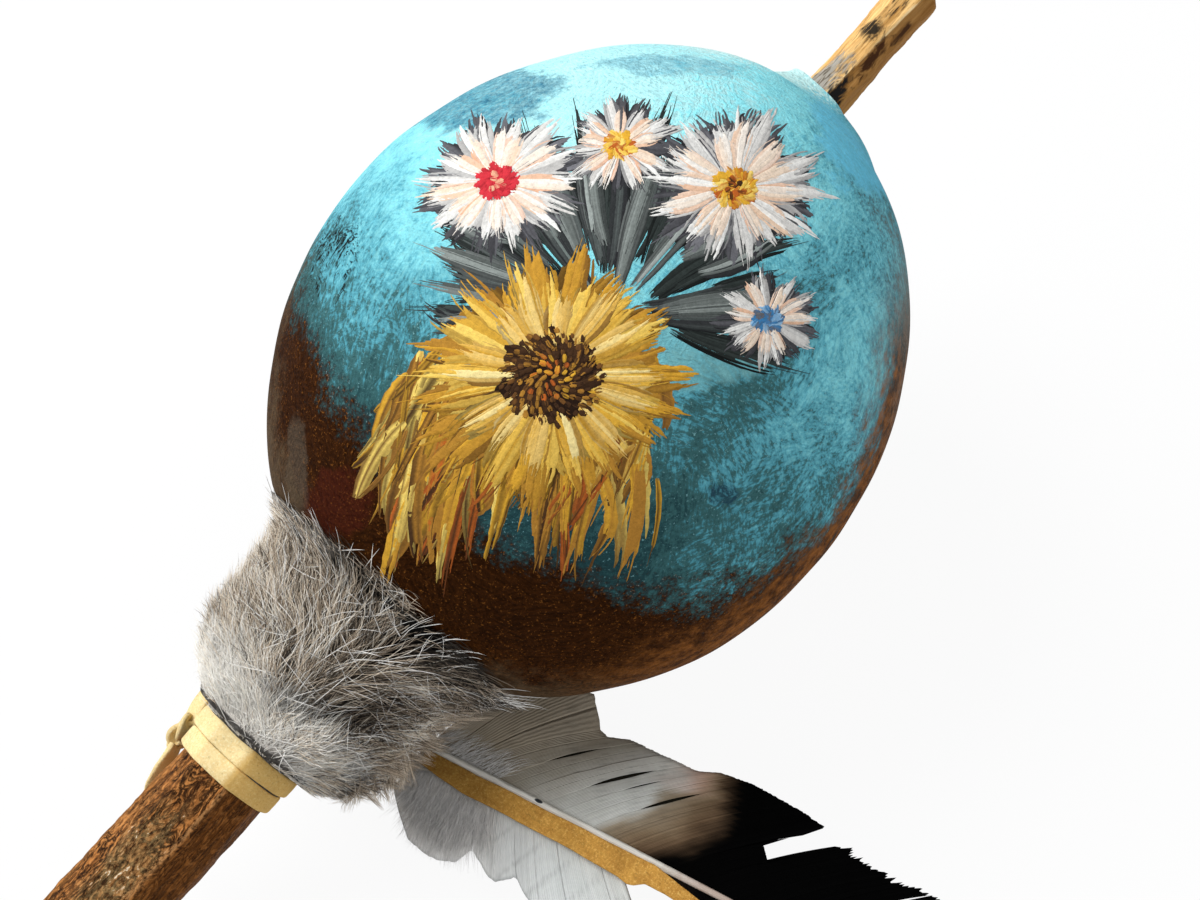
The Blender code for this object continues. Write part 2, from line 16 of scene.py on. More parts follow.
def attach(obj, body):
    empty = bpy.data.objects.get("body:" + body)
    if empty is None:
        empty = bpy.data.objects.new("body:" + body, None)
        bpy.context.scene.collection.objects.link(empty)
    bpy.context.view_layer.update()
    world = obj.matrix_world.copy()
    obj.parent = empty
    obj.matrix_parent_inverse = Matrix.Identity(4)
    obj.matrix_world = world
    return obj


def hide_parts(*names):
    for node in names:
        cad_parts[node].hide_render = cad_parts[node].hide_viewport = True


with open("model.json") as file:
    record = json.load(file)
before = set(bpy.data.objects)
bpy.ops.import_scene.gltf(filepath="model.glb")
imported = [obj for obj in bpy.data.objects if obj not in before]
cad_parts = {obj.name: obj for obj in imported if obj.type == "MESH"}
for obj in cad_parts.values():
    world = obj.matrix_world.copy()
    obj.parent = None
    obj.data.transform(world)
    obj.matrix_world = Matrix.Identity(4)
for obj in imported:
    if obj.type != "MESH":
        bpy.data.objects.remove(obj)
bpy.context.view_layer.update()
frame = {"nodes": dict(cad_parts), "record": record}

MM = 0.001

# Gourd
GOURD_RADIUS = 71.5 * MM
GOURD_TOP = 86 * MM
GOURD_TOP_FULLNESS = 1.88
GOURD_BASE = 83 * MM
GOURD_WALL = 4.5 * MM
NECK_FOOT = 78 * MM
NECK_RIM = 88.9 * MM
NECK_EDGE = 7.3 * MM
NECK_SWELL = 3.4 * MM
NECK_RISE = 1.4 * MM
NECK_BORE = 6.8 * MM
BASE_HOLE_RADIUS = 12.2 * MM
SKIN_LUMP = 0.7 * MM
PAINT_DEPTH = 0.32

# Stick
BUTT = -243 * MM
TIP = 128 * MM
STICK_FACETS = 8
FACET_UNEVENNESS = 0.035
# Places along the stick with its radius at each, then its bend and the turn of its flats in the same way.
STICK_PLACES = np.array((128, 126.6, 112, 90, 78, 30, -40, -82.2, -84.2, -117, -129.5, -150, -178, -205,
                         -228, -241.6, -243)) * MM
STICK_RADII = np.array((5.42, 6.55, 6.11, 6.3, 6.55, 7.88, 9.12, 9.6, 11.83, 11.96, 11.83, 12.32, 12.08,
                        12.44, 12.6, 12.6, 11.09)) * MM
BEND_PLACES = np.array((-243, -172, -131, -82, -50, 56, 88, 128)) * MM
BEND_OFFSETS = np.array((1.7, 1.7, 0.8, 0.8, 0, 0, 1.4, 1.7)) * MM
TWIST_PLACES = np.array((-243, -150, -131, 88, 105, 128)) * MM
TWIST_ANGLES = np.radians((19.5, 15.5, 9.5, -4.5, 5.5, 18.5))

# Fur collar and its binding
GAP = 0.35 * MM
CUFF_END = -129.5 * MM
CUFF_TOP = -117 * MM
CUFF_RADIUS = 14.1 * MM
BAND_RADIUS = 12.8 * MM
FUR_RADIUS = 31.5 * MM
FUR_TOP = -72 * MM
FUR_BORDER = -71.5 * MM
BORDER_DIP = 4.5 * MM
BORDER_TURN = 2.2 * MM
PELT_BORE = 12.2 * MM
UNDERFUR_END = -115.8 * MM
HAIR_END = -117.9 * MM
HAIR_TURN = 0.9 * MM
PARTING_ANGLE = 223
PARTING_PLACE = -100.5 * MM
PARTING_SLOPE = 0.27 * MM
FUR_PLACES = np.array((-119, -117.2, -114, -108, -100, -94, -85, -76, -70)) * MM
FUR_THIN = np.array((14.2, 17.2, 20.8, 24.6, 26.9, 27.5, 28.6, 30, 33.5)) * MM
FUR_FULL = np.array((14.2, 18.0, 22.6, 26.0, 26.6, 26.4, 28.2, 34, 41)) * MM
LACE_WIDTH = 4.8 * MM
LACE_THICKNESS = 1.6 * MM
LACE_PITCH = 5.3 * MM
LACE_FIRST = -125.9 * MM
LACE_TURNS = 1.76
BAND_CORNER = math.radians(210)
KNOT_ANGLE = math.radians(84)
KNOT_SIZE = 0.95 * MM
KNOT_DEPTH = 1.2 * MM
KNOT_REACH = 16.8 * MM
KNOT_PLACE = -127 * MM
KNOT_WIDTH = 4.0 * MM
KNOT_THICKNESS = 1.4 * MM
STRAP_ANGLE = math.radians(148)
STRAP_WIDTH = LACE_WIDTH * 1.1
STRAP_THICKNESS = 1.3 * MM
LOWER_TAIL = np.array(((2, 16, -131), (1.6, 14.9, -134.2), (2.4, 14.4, -137.4), (4.8, 14.3, -140.8),
                       (8.8, 14.4, -143.9), (13.8, 14.3, -146.5), (19.4, 13.6, -148.5),
                       (25.4, 12.6, -149.8))) * MM
UPPER_TAIL = np.array(((2, 18.9, -115.4), (3.2, 20.3, -112.6), (5.6, 22.5, -109.8), (9.3, 24.3, -107),
                       (13.8, 24.9, -104.4), (18.9, 24.2, -102), (23.2, 22.4, -100),
                       (26.5, 20, -98.6))) * MM

# Feather
FEATHER_LENGTH = 158 * MM
FEATHER_PLACE = -95 * MM
FEATHER_ACROSS = 21 * MM
FEATHER_DOWN = 27.4 * MM
FEATHER_HEADING = np.array((0.272, -0.944))
FEATHER_BOW = 3 * MM
FEATHER_TIP_HEIGHT = 4.2 * MM
FEATHER_ROLL = 0.10
SHAFT_OFFSET = 1.2 * MM
SHAFT_SHOWN = 1.22 * MM
# For each side, the runs of barbs that hang together, from place to place along the shaft in mm; the splits
# between them, each with its place, the shares of a barb's length where it starts and ends, and how wide it
# opens; and the lower layers, dark sheets of painted shadow seen through the splits.
VANE_LOCKS = {
    1: (((2, 20.2), (20.2, 27.3), (27.3, 33), (33, 37.7), (37.7, 46), (46, 67.9), (67.9, 74.5), (74.5, 100),
         (100, 156)),
        ((20.2, 0.37, 0.80, 1.2), (27.3, 0.45, 0.66, 0.5), (33, 0.33, 0.84, 1.7), (37.7, 0.40, 0.76, 0.9),
         (46, 0.30, 0.74, 1.6), (100, 0.5, 1.1, 1.0)),
        ((14, 52),)),
    -1: (((2, 19.2), (19.2, 26.7), (26.7, 53.4), (53.5, 77), (77, 100), (100, 156)),
         ((19.2, 0.75, 1.2, 0.6), (26.7, 0.35, 1.2, 0.35), (100, 0.5, 1.1, 1.4)), ())}
BARB_RISE = 1.5 * MM
BARB_REACH = 27 * MM
INNER_DIP = 1.8 * MM
THONG_START = 2.6 * MM
THONG_LENGTH = 79.5 * MM
THONG_THICKNESS = 1.3 * MM

# Camera and table
AZIMUTH = math.radians(-47.6)
ELEVATION = math.radians(60)
FOCAL_PIXELS = 1869
CAMERA_DISTANCE = 0.45
HEART_PIXEL = (590, 370)
IMAGE_SIZE = (1200, 900)
SENSOR_WIDTH = 36
TABLE_HALF = 3
TABLE_DROP = 0.2 * MM


# Where things are


def unit(vectors):
    """Vectors scaled to length 1 along their last axis."""
    vectors = np.asarray(vectors, float)
    return vectors / np.maximum(np.linalg.norm(vectors, axis=-1, keepdims=True), 1e-12)


def mount(name):
    """The record's mount of that name."""
    return next(m for m in frame["record"]["mounts"] if m["name"] == name)


ALONG = unit(mount("tip_end")["axis"])
ACROSS = np.array((0.0, 1.0, 0.0))
DOWN = np.cross(ACROSS, ALONG)
HEART = np.array(mount("tip_end")["pos_m"]) - TIP * ALONG

RIGHT = np.array((math.cos(AZIMUTH), math.sin(AZIMUTH), 0.0))
UP = np.array((-math.sin(AZIMUTH) * math.sin(ELEVATION), math.cos(AZIMUTH) * math.sin(ELEVATION),
               math.cos(ELEVATION)))
TOWARDS = np.cross(RIGHT, UP)


def from_stick(points):
    """World places of points in the stick's frame."""
    return HEART + points[..., :1] * DOWN + points[..., 1:2] * ACROSS + points[..., 2:] * ALONG


def from_round(angle, radius, place):
    """World places from an angle and a radius about the stick's axis and a place along it."""
    return from_stick(joined(radius * np.cos(angle), radius * np.sin(angle), place))


def out_from_stick(points):
    """Directions straight out from the stick's axis at world places."""
    from_heart = points - HEART
    return unit(from_heart - (from_heart @ ALONG)[..., None] * ALONG)


def stick_bend(place):
    """How far the stick's middle line is off the straight axis, to the left, at a place along it."""
    return np.interp(place, BEND_PLACES, BEND_OFFSETS)


def feather_axes():
    """The feather's exit from the fur and its three axes: along the shaft, across and up."""
    exit_point = from_stick(np.array((FEATHER_DOWN, -FEATHER_ACROSS, FEATHER_PLACE)))
    slope = (FEATHER_TIP_HEIGHT - exit_point[2]) / FEATHER_LENGTH
    heading = unit(FEATHER_HEADING) * math.sqrt(1 - slope ** 2)
    along = np.array((heading[0], heading[1], slope))
    side = unit((-along[1], along[0], FEATHER_ROLL))
    side = unit(side - along * side.dot(along))
    return exit_point, along, side, np.cross(along, side)


FEATHER_EXIT, FEATHER_ALONG, FEATHER_SIDE, FEATHER_UP = feather_axes()


def from_feather(points):
    """World places of points in the feather's frame."""
    return (FEATHER_EXIT + points[..., :1] * FEATHER_ALONG + points[..., 1:2] * FEATHER_SIDE
            + points[..., 2:] * FEATHER_UP)


# Numbers


def joined(*parts):
    """Numbers or arrays side by side along a new last axis."""
    return np.stack(np.broadcast_arrays(*parts), -1)


def round_angles(count):
    """Even angles once round, in radians."""
    return np.linspace(0, 2 * math.pi, count, endpoint=False)


def smooth(value, low, high):
    """Rises from 0 at low to 1 at high along 3s^2 - 2s^3."""
    share = np.clip((value - low) / (high - low), 0, 1)
    return share * share * (3 - 2 * share)


def wander(points, size, seed, layers=3):
    """Smooth noise about 0: the mean of sines along random directions, each finer layer half as strong."""
    rng = np.random.default_rng(seed)
    total = 0.0
    for layer in range(layers):
        ways = unit(rng.normal(size=(6, points.shape[-1]))) * 2 * math.pi / size * 2 ** layer
        total = total + np.sin(points @ ways.T + rng.uniform(0, 2 * math.pi, 6)).mean(-1) * 0.5 ** layer
    return total * 1.6


def held_above(value, low, turn):
    """A value held above a low one, with a soft turn t: low + t ln(1 + exp((value - low) / t))."""
    return low + turn * np.log1p(np.exp((value - low) / turn))


def bell(value, middle, width):
    """1 at a middle value, falling off to both sides of it along exp(-s^2)."""
    return np.exp(-((value - middle) / width) ** 2)


def turn_from(angle, middle):
    """The turn from a middle, in degrees, to an angle, in radians: from -180 to 180 degrees."""
    return np.mod(np.degrees(angle) - middle + 180, 360) - 180


def near(angle, middle, width):
    """A bell over angles: its middle and its width are in degrees."""
    return bell(turn_from(angle, middle), 0, width)


def ramp(value, stops, colours):
    """Colours between stops, mixed in straight lines."""
    return joined(*(np.interp(value, stops, channel) for channel in np.transpose(colours)))


def smooth_line(points, count):
    """Evenly spaced points on a Catmull-Rom curve through a route's own points."""
    route = np.vstack([2 * points[0] - points[1], points, 2 * points[-1] - points[-2]])
    share = np.linspace(0, 1, 24, endpoint=False)[None, :, None]
    before, start, end, after = (route[k:len(route) - 3 + k, None] for k in range(4))
    fine = 0.5 * (2 * start + (end - before) * share
                  + (2 * before - 5 * start + 4 * end - after) * share ** 2
                  + (3 * start - before - 3 * end + after) * share ** 3)
    fine = np.vstack([fine.reshape(-1, 3), points[-1]])
    along = np.concatenate([[0], np.cumsum(np.linalg.norm(np.diff(fine, axis=0), axis=1))])
    return ramp(np.linspace(0, along[-1], count), along, fine)


# Meshes


def add_piece(name, points, faces, finish, body, replaces=(), colours=None, uv=None):
    """A smooth-shaded mesh object from arrays: points, faces as index arrays of three or four columns,
    a colour at each point and a map place at each face corner."""
    mesh = bpy.data.meshes.new(name)
    points = np.asarray(points, np.float32).reshape(-1, 3)
    corners = np.concatenate([f.ravel() for f in faces]).astype(np.int32)
    sizes = np.concatenate([np.full(len(f), f.shape[1]) for f in faces])
    mesh.vertices.add(len(points))
    mesh.vertices.foreach_set("co", points.ravel())
    mesh.loops.add(len(corners))
    mesh.loops.foreach_set("vertex_index", corners)
    mesh.polygons.add(len(sizes))
    mesh.polygons.foreach_set("loop_start", (np.cumsum(sizes) - sizes).astype(np.int32))
    mesh.polygons.foreach_set("use_smooth", np.ones(len(sizes), bool))
    if colours is not None:
        layer = mesh.color_attributes.new("pigment", "FLOAT_COLOR", "POINT")
        colours = colours.reshape(-1, 3)
        layer.data.foreach_set("color", np.column_stack([colours, np.ones(len(colours))]).ravel())
    if uv is not None:
        mesh.uv_layers.new(name="OFBake").data.foreach_set("uv", uv.astype(np.float32).ravel())
    mesh.update(calc_edges=True)
    mesh.materials.append(finish)
    piece = bpy.data.objects.new(name, mesh)
    bpy.context.scene.collection.objects.link(piece)
    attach(piece, body)
    if replaces:
        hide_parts(*replaces)
    return piece


def grid_faces(rows, columns, round_rows=False, round_columns=False):
    """Quads over a grid of points, joined up across a direction that runs round."""
    row, column = np.meshgrid(np.arange(rows if round_rows else rows - 1),
                              np.arange(columns if round_columns else columns - 1), indexing="ij")
    row_after, column_after = (row + 1) % rows, (column + 1) % columns
    return joined(row * columns + column, row * columns + column_after,
                  row_after * columns + column_after, row_after * columns + column).reshape(-1, 4)


def capped_tube(rings):
    """Points and faces of a tube through rings (rows, columns, 3), closed by a fan at each end."""
    rows, columns = rings.shape[:2]
    points = np.concatenate([rings.reshape(-1, 3), rings[:1].mean(1), rings[-1:].mean(1)])
    ring = np.arange(columns)
    after = (ring + 1) % columns
    last = (rows - 1) * columns
    low = joined(rows * columns, after, ring)
    high = joined(rows * columns + 1, last + ring, last + after)
    return points, [grid_faces(rows, columns, round_columns=True), low, high]


def carried(path, side, up, across, above):
    """Rings of a profile carried along a path: its points go across along side and above along up."""
    return path[:, None] + across[..., None] * side[:, None] + above[..., None] * up[:, None]


def strip_profile(columns, width, thickness):
    """A flat strip's section, a squared-off ellipse |x/w|^6.5 + |z/t|^3.6 = 1, for one width or for many."""
    turn = round_angles(columns)
    across = np.sign(np.cos(turn)) * np.abs(np.cos(turn)) ** 0.31
    above = np.sign(np.sin(turn)) * np.abs(np.sin(turn)) ** 0.56
    return np.multiply.outer(width / 2, across), np.multiply.outer(thickness / 2, above)


def cells(count, template):
    """A map in which each of many like shapes has its own cell of a square grid."""
    rows = math.ceil(math.sqrt(count))
    number = np.arange(count)
    corner = joined(number % rows, number // rows)
    return (corner[:, None] + 0.06 + 0.88 * template[None]).reshape(-1, 2) / rows


def blades(paths, sides, ups, half_widths, heights):
    """Points, faces and map of many thin three-sided blades, one along each path (count, steps, 3):
    a triangle carried along the path and drawn to a point at its end."""
    count, steps = paths.shape[:2]
    wide, tall = half_widths[..., None] * sides, heights[..., None] * ups
    rings = np.stack([paths - wide - tall * 0.3, paths + wide - tall * 0.3, paths + tall], axis=2)[:, :-1]
    points = np.concatenate([rings.reshape(count, -1, 3), paths[:, -1:]], axis=1)
    step, side = (a.ravel() for a in np.meshgrid(np.arange(steps - 2), np.arange(3), indexing="ij"))
    after = (side + 1) % 3
    low, low_after = step * 3 + side, step * 3 + after
    tip_ring = (steps - 2) * 3 + np.arange(3)
    tip_after = (steps - 2) * 3 + (np.arange(3) + 1) % 3
    faces = np.concatenate([joined(low, low_after, low_after + 3),
                            joined(low, low_after + 3, low + 3),
                            joined(tip_ring, tip_after, steps * 3 - 3), [[0, 2, 1]]])
    left, right = side / 3, (side + 0.96) / 3
    below, above = step / steps, (step + 1) / steps
    third = np.arange(3) / 3
    top = (steps - 2) / steps
    template = np.concatenate([
        joined(left, below, right, below, right, above),
        joined(left, below, right, above, left, above),
        joined(third, top, third + 0.32, top, third + 0.16, top + 1 / steps),
        [[0.0, 0.97, 0.02, 1.0, 0.04, 0.97]]]).reshape(-1, 2)
    numbers = (np.arange(count) * points.shape[1])[:, None, None]
    return points, [(faces[None] + numbers).reshape(-1, 3)], cells(count, template)


def blade_colours(colours):
    """A colour at each step of each blade, repeated for the blade's three-cornered rings."""
    return np.concatenate([np.repeat(colours[:, :-1], 3, axis=1), colours[:, -1:]], axis=1)


def thin_sheets(tops, ups, thickness, flip):
    """Points, faces and map of many thin closed sheets: each is a grid of places (count, rows, columns, 3),
    the same grid again a thickness below it, and a wall round the edge."""
    count, rows, columns = tops.shape[:3]
    size = rows * columns
    points = np.stack([tops, tops - thickness * ups], axis=1).reshape(count, -1, 3)
    top = grid_faces(rows, columns)
    number = np.arange(size).reshape(rows, columns)
    ring = np.concatenate([number[0, :-1], number[:-1, -1], number[-1, :0:-1], number[:0:-1, 0]])
    after = np.roll(ring, -1)
    faces = np.concatenate([top, top[:, ::-1] + size, joined(ring + size, after + size, after, ring)])
    row, column = top // columns / (rows - 1), top % columns / (columns - 1)
    step = np.arange(len(ring)) / len(ring)
    step_end = step + 0.9 / len(ring)
    wall = joined(step, 0.98, step_end, 0.98, step_end, 1.0, step, 1.0)
    upper = joined(row * 0.49, column * 0.95)
    lower = joined(row * 0.49 + 0.51, column * 0.95)[:, ::-1]
    face_map = np.concatenate([upper, lower, wall.reshape(-1, 4, 2)])
    if flip:
        faces, face_map = faces[:, ::-1], face_map[:, ::-1]
    numbers = (np.arange(count) * 2 * size)[:, None, None]
    return points, [(faces[None] + numbers).reshape(-1, 4)], cells(count, face_map.reshape(-1, 2))


def path_frames(paths, outwards):
    """Side and up directions of one path or of many: up leans outwards, along = side x up."""
    along = unit(np.gradient(paths, axis=-2))
    side = unit(np.cross(outwards, along))
    return side, np.cross(along, side)


# Finishes


class Value:
    """A shader socket that takes part in Python sums, each of which adds a Math node."""

    def __init__(self, finish, socket):
        self.finish = finish
        self.socket = socket

    def math(self, operation, first, second=0.0):
        return self.finish.node("ShaderNodeMath", {"operation": operation}, {0: first, 1: second})

    def __add__(self, other):
        return self.math("ADD", self, other)

    def __radd__(self, other):
        return self.math("ADD", other, self)

    def __sub__(self, other):
        return self.math("SUBTRACT", self, other)

    def __rsub__(self, other):
        return self.math("SUBTRACT", other, self)

    def __mul__(self, other):
        return self.math("MULTIPLY", self, other)

    def __truediv__(self, other):
        return self.math("DIVIDE", self, other)

    def __pow__(self, other):
        return self.math("POWER", self, other)

    def sine(self):
        return self.math("SINE", self)

    def size(self):
        return self.math("ABSOLUTE", self)

    def most(self, other):
        return self.math("MAXIMUM", self, other)

    def rise(self, low, high):
        """0 below low, 1 above high and smooth between; from 1 to 0 where low is the larger."""
        return self.finish.node("ShaderNodeMapRange", {"interpolation_type": "SMOOTHSTEP"},
                                {"Value": self, "From Min": low, "From Max": high})


class Finish:
    """One material: a Principled shader and the nodes that feed it."""

    def __init__(self, name, roughness, **constants):
        self.material = bpy.data.materials.new(name)
        self.material.use_nodes = True
        self.tree = self.material.node_tree
        self.shader = self.tree.nodes["Principled BSDF"]
        self.feed(self.shader.inputs["Roughness"], roughness)
        for socket, value in constants.items():
            self.feed(self.shader.inputs[socket.replace("_", " ").title().replace("Ior", "IOR")], value)
        self.place = self.node("ShaderNodeTexCoord", output="Object")

    def node(self, kind, settings=None, sockets=None, output=0):
        """A node of that kind, its settings made first, then its sockets given values or links."""
        made = self.tree.nodes.new(kind)
        for name, value in (settings or {}).items():
            setattr(made, name, value)
        for name, value in (sockets or {}).items():
            self.feed(made.inputs[name], value)
        return Value(self, made.outputs[output])

    def feed(self, socket, value):
        if isinstance(value, Value):
            self.tree.links.new(value.socket, socket)
        elif socket.type == "RGBA":
            socket.default_value = (*value[:3], 1.0)
        else:
            socket.default_value = value

    def noise(self, where, size, detail, roughness=0.5, distortion=0.0):
        """Noise whose lumps are about that many metres apart."""
        return self.node("ShaderNodeTexNoise", {}, {"Vector": where, "Scale": 1 / size, "Detail": detail,
                                                   "Roughness": roughness, "Distortion": distortion})

    def cells(self, where, size, feature="F1"):
        return self.node("ShaderNodeTexVoronoi", {"feature": feature}, {"Vector": where, "Scale": 1 / size})

    def stretched(self, where, scale):
        return self.node("ShaderNodeMapping", {}, {"Vector": where, "Scale": scale})

    def measured(self, direction, origin=HEART):
        """How far a place lies along a direction from a point, in metres."""
        moved = self.node("ShaderNodeVectorMath", {"operation": "SUBTRACT"},
                          {0: self.place, 1: tuple(origin)})
        return self.node("ShaderNodeVectorMath", {"operation": "DOT_PRODUCT"},
                         {0: moved, 1: tuple(direction)}, output="Value")

    def together(self, x, y, z):
        return self.node("ShaderNodeCombineXYZ", {}, {0: x, 1: y, 2: z})

    def mix(self, share, first, second):
        """A colour from first to second by a share."""
        return self.node("ShaderNodeMix", {"data_type": "RGBA"}, {0: share, 6: first, 7: second}, output=2)

    def times(self, first, second):
        return self.node("ShaderNodeMix", {"data_type": "RGBA", "blend_type": "MULTIPLY"},
                         {0: 1.0, 6: first, 7: second}, output=2)

    def grey(self, value):
        return self.together(value, value, value)

    def pigment(self):
        return self.node("ShaderNodeAttribute", {"attribute_name": "pigment"}, output="Color")

    def bump(self, height, depth):
        """Raises the surface by height, 0 to 1, times a depth in metres."""
        self.feed(self.shader.inputs["Normal"],
                  self.node("ShaderNodeBump", {}, {"Strength": 1.0, "Distance": depth, "Height": height}))

    def colour(self, value):
        self.feed(self.shader.inputs["Base Color"], value)

    def rough(self, value):
        self.feed(self.shader.inputs["Roughness"], value)


def dab(x, y, centre, reach, noise, raggedness=0.5):
    """A patch of paint with a ragged edge, round a centre across the gourd's face."""
    away = (((x - centre[0]) / reach[0]) ** 2 + ((y - centre[1]) / reach[1]) ** 2) ** 0.5
    return (away + (noise - 0.5) * raggedness * 4).rise(1.15, 0.75)


def bristle_lines(finish, face, patch_size, line_size):
    """Brushwork: patches with ragged borders, each with fine bristle lines in a direction of its own."""
    ragged = finish.node("ShaderNodeTexNoise", {}, {"Vector": face, "Scale": 1.6 / patch_size},
                         output="Color")
    warped = finish.node("ShaderNodeVectorMath", {"operation": "MULTIPLY_ADD"},
                         {0: ragged, 1: (patch_size * 0.9,) * 3, 2: face})
    patch = finish.node("ShaderNodeTexVoronoi", {}, {"Vector": warped, "Scale": 1 / patch_size},
                        output="Color")
    turn = finish.node("ShaderNodeSeparateColor", {}, {0: patch}) * 3.2
    turned = finish.node("ShaderNodeVectorRotate", {"rotation_type": "Z_AXIS"},
                         {"Vector": face, "Angle": turn})
    return finish.noise(finish.stretched(turned, (0.17, 1.0, 0.55)), line_size, 3, 0.62)


def painted_ground():
    """The gourd's brushed ground: pale cyan at the top, blue and teal away from it, dark brown below."""
    f = Finish("painted_ground", 0.6, specular_ior_level=0.01)
    x = f.measured(RIGHT / GOURD_RADIUS)
    y = f.measured(UP / GOURD_RADIUS)
    z = f.measured(TOWARDS / GOURD_RADIUS)
    face = f.together(x * GOURD_RADIUS, y * GOURD_RADIUS, z * GOURD_RADIUS)
    front = z.rise(-0.15, 0.1)
    cloud = f.noise(f.place, 30 * MM, 3)
    patch = f.noise(f.place, 11 * MM, 5, 0.66)
    mottle = f.noise(f.place, 4 * MM, 4, 0.72)
    stipple = f.noise(f.place, 1.3 * MM, 4, 0.75)
    speck = f.noise(f.place, 0.6 * MM, 2, 0.7)
    bristle = bristle_lines(f, face, 15 * MM, 0.8 * MM)
    second = bristle_lines(f, face, 7 * MM, 0.6 * MM)
    brush = bristle * 0.6 + second * 0.4
    marks = brush.rise(0.34, 0.66)

    left = (0.0 - x * 0.9 - y * 0.5).rise(0.35, 0.95)
    low_left = (0.0 - x - y * 1.2).rise(0.55, 1.05)
    away = ((x - 0.096) ** 2 + (y - 0.34) ** 2) ** 0.5
    dusk = away + (patch - 0.5) * 0.34 + (stipple - 0.5) * 0.42 + (mottle - 0.5) * 0.22 + low_left * 0.18
    dark = dusk.rise(0.99, 1.17)
    far = (x ** 2 + (y - 0.95) ** 2) ** 0.5
    tone = far + (cloud - 0.5) * 0.50 + (patch - 0.5) * 0.62 + (mottle - 0.5) * 0.50 + (marks - 0.5) * 0.40
    tone = tone + (stipple - 0.5) * 0.45 + left * 0.24 - (x - y * 0.8).rise(0.5, 0.9) * 0.42
    sky = f.mix(tone.rise(0.18, 0.64), (0.47, 0.88, 0.91), (0.27, 0.75, 0.82))
    for low, high, pigment in ((0.60, 1.05, (0.092, 0.36, 0.45)), (0.96, 1.22, (0.043, 0.126, 0.132)),
                               (1.22, 1.54, (0.017, 0.054, 0.061))):
        sky = f.mix(tone.rise(low, high), sky, pigment)
    glint = (brush * 0.5 + speck * 0.6).rise(0.62, 0.74) * tone.rise(0.5, 0.9)
    sky = f.mix(glint * 0.5, sky, (0.27, 0.56, 0.60))
    sky = f.mix(dab(x, y, (0.86, 0.76), (0.17, 0.24), patch) * front * 0.75, sky, (0.14, 0.54, 0.74))
    smudge = dab(x, y, (-0.34, 0.84), (0.26, 0.13), patch) * front
    sky = f.mix(smudge * (0.3 + mottle * 0.8 + (stipple - 0.5) * 1.2), sky, (0.030, 0.16, 0.26))
    smudge = dab(x, y, (0.24, 0.94), (0.26, 0.05), patch) * front
    sky = f.mix(smudge * (mottle * 0.9 + (stipple - 0.5) * 0.9), sky, (0.06, 0.26, 0.38))
    stem = f.measured(ALONG) + (patch - 0.5) * 0.012
    neck = stem + f.measured(ACROSS) * 1.2 + (stipple - 0.5) * 0.060
    sky = f.mix(neck.rise(0.080, 0.092) * stem.rise(0.062, 0.074) * 0.85, sky, (0.60, 0.86, 0.84))
    sky = f.mix(dab(x, y, (0.39, -0.40), (0.05, 0.035), stipple) * front * (0.3 + marks * 0.5), sky,
                (0.012, 0.036, 0.070))
    sky = f.mix(dab(x, y, (0.36, 0.02), (0.20, 0.12), patch) * front * mottle, sky, (0.24, 0.58, 0.62))

    soil = f.mix(marks * 0.4 + patch * 0.3 + mottle * 0.3, (0.0085, 0.0024, 0.0009), (0.052, 0.0165, 0.0036))
    low = (away + (cloud - 0.5) * 0.5).rise(1.22, 1.52)
    soil = f.mix(low * (mottle * 0.6 + marks * 0.5), soil,
                 f.mix(patch.rise(0.35, 0.7), (0.035, 0.010, 0.0024), (0.15, 0.048, 0.008)))
    soil = f.mix((speck * 0.8 + stipple * 0.6).rise(0.78, 0.92) * 0.8, soil, (0.23, 0.085, 0.016))
    soil = f.mix(dab(x, y, (-0.76, -0.43), (0.13, 0.11), patch) * front * 0.35, soil, (0.085, 0.012, 0.008))
    # Painted reflection: a soft grey-brown patch on the dark brown at the gourd's left edge.
    soil = f.mix(dab(x, y, (-0.90, -0.34), (0.05, 0.13), patch) * front * 0.5, soil, (0.10, 0.078, 0.055))
    drift = f.node("ShaderNodeTexNoise", {}, {"Vector": f.place, "Scale": 260.0}, output="Color")
    crack_place = f.node("ShaderNodeVectorMath", {"operation": "MULTIPLY_ADD"},
                         {0: drift, 1: (2 * MM,) * 3, 2: f.place})
    cracks = f.cells(crack_place, 5.2 * MM, "DISTANCE_TO_EDGE").rise(0.055, 0.012) * low
    soil = f.mix(cracks * 0.8, soil, (0.004, 0.002, 0.001))

    ground = f.mix(dark, sky, soil)
    rim = (x ** 2 + y ** 2) ** 0.5 + (patch - 0.5) * 0.24 + (mottle - 0.5) * 0.12
    right_rim = (rim - front * 0.4).rise(0.42, 0.57) * (x - y * 0.75).rise(0.62, 1.02)
    bark_brown = f.mix(mottle.rise(0.3, 0.7), (0.040, 0.015, 0.005), (0.26, 0.095, 0.022))
    ground = f.mix(right_rim * 0.95, ground, bark_brown)
    left_rim = (rim.rise(0.95, 1.06) * (0.0 - x - y * 0.5).rise(0.25, 0.75)) * front
    ground = f.mix(left_rim * (0.3 + mottle * 0.7), ground, (0.11, 0.075, 0.042))
    grey_rim = rim.rise(0.97, 1.06) * (x + y * 0.3).rise(0.75, 1.0) * y.rise(0.6, 0.4)
    ground = f.mix(grey_rim * marks * 0.7, ground, (0.16, 0.16, 0.14))
    chips = dab(x, y, (-0.79, 0.32), (0.10, 0.16), patch, 0.7) * front
    chips = chips * (second * 0.6 + patch * 0.5).rise(0.56, 0.60)
    ground = f.mix(chips, ground, (0.008, 0.008, 0.008))
    f.colour(f.times(ground, f.grey(0.79 + marks * 0.40 + (speck - 0.5) * 0.42)))
    f.rough(0.50 + stipple * 0.25)
    f.bump(brush * 1.7 + stipple * 0.7 + speck * 0.4 - cracks * 0.5, 0.55 * MM)
    return f.material


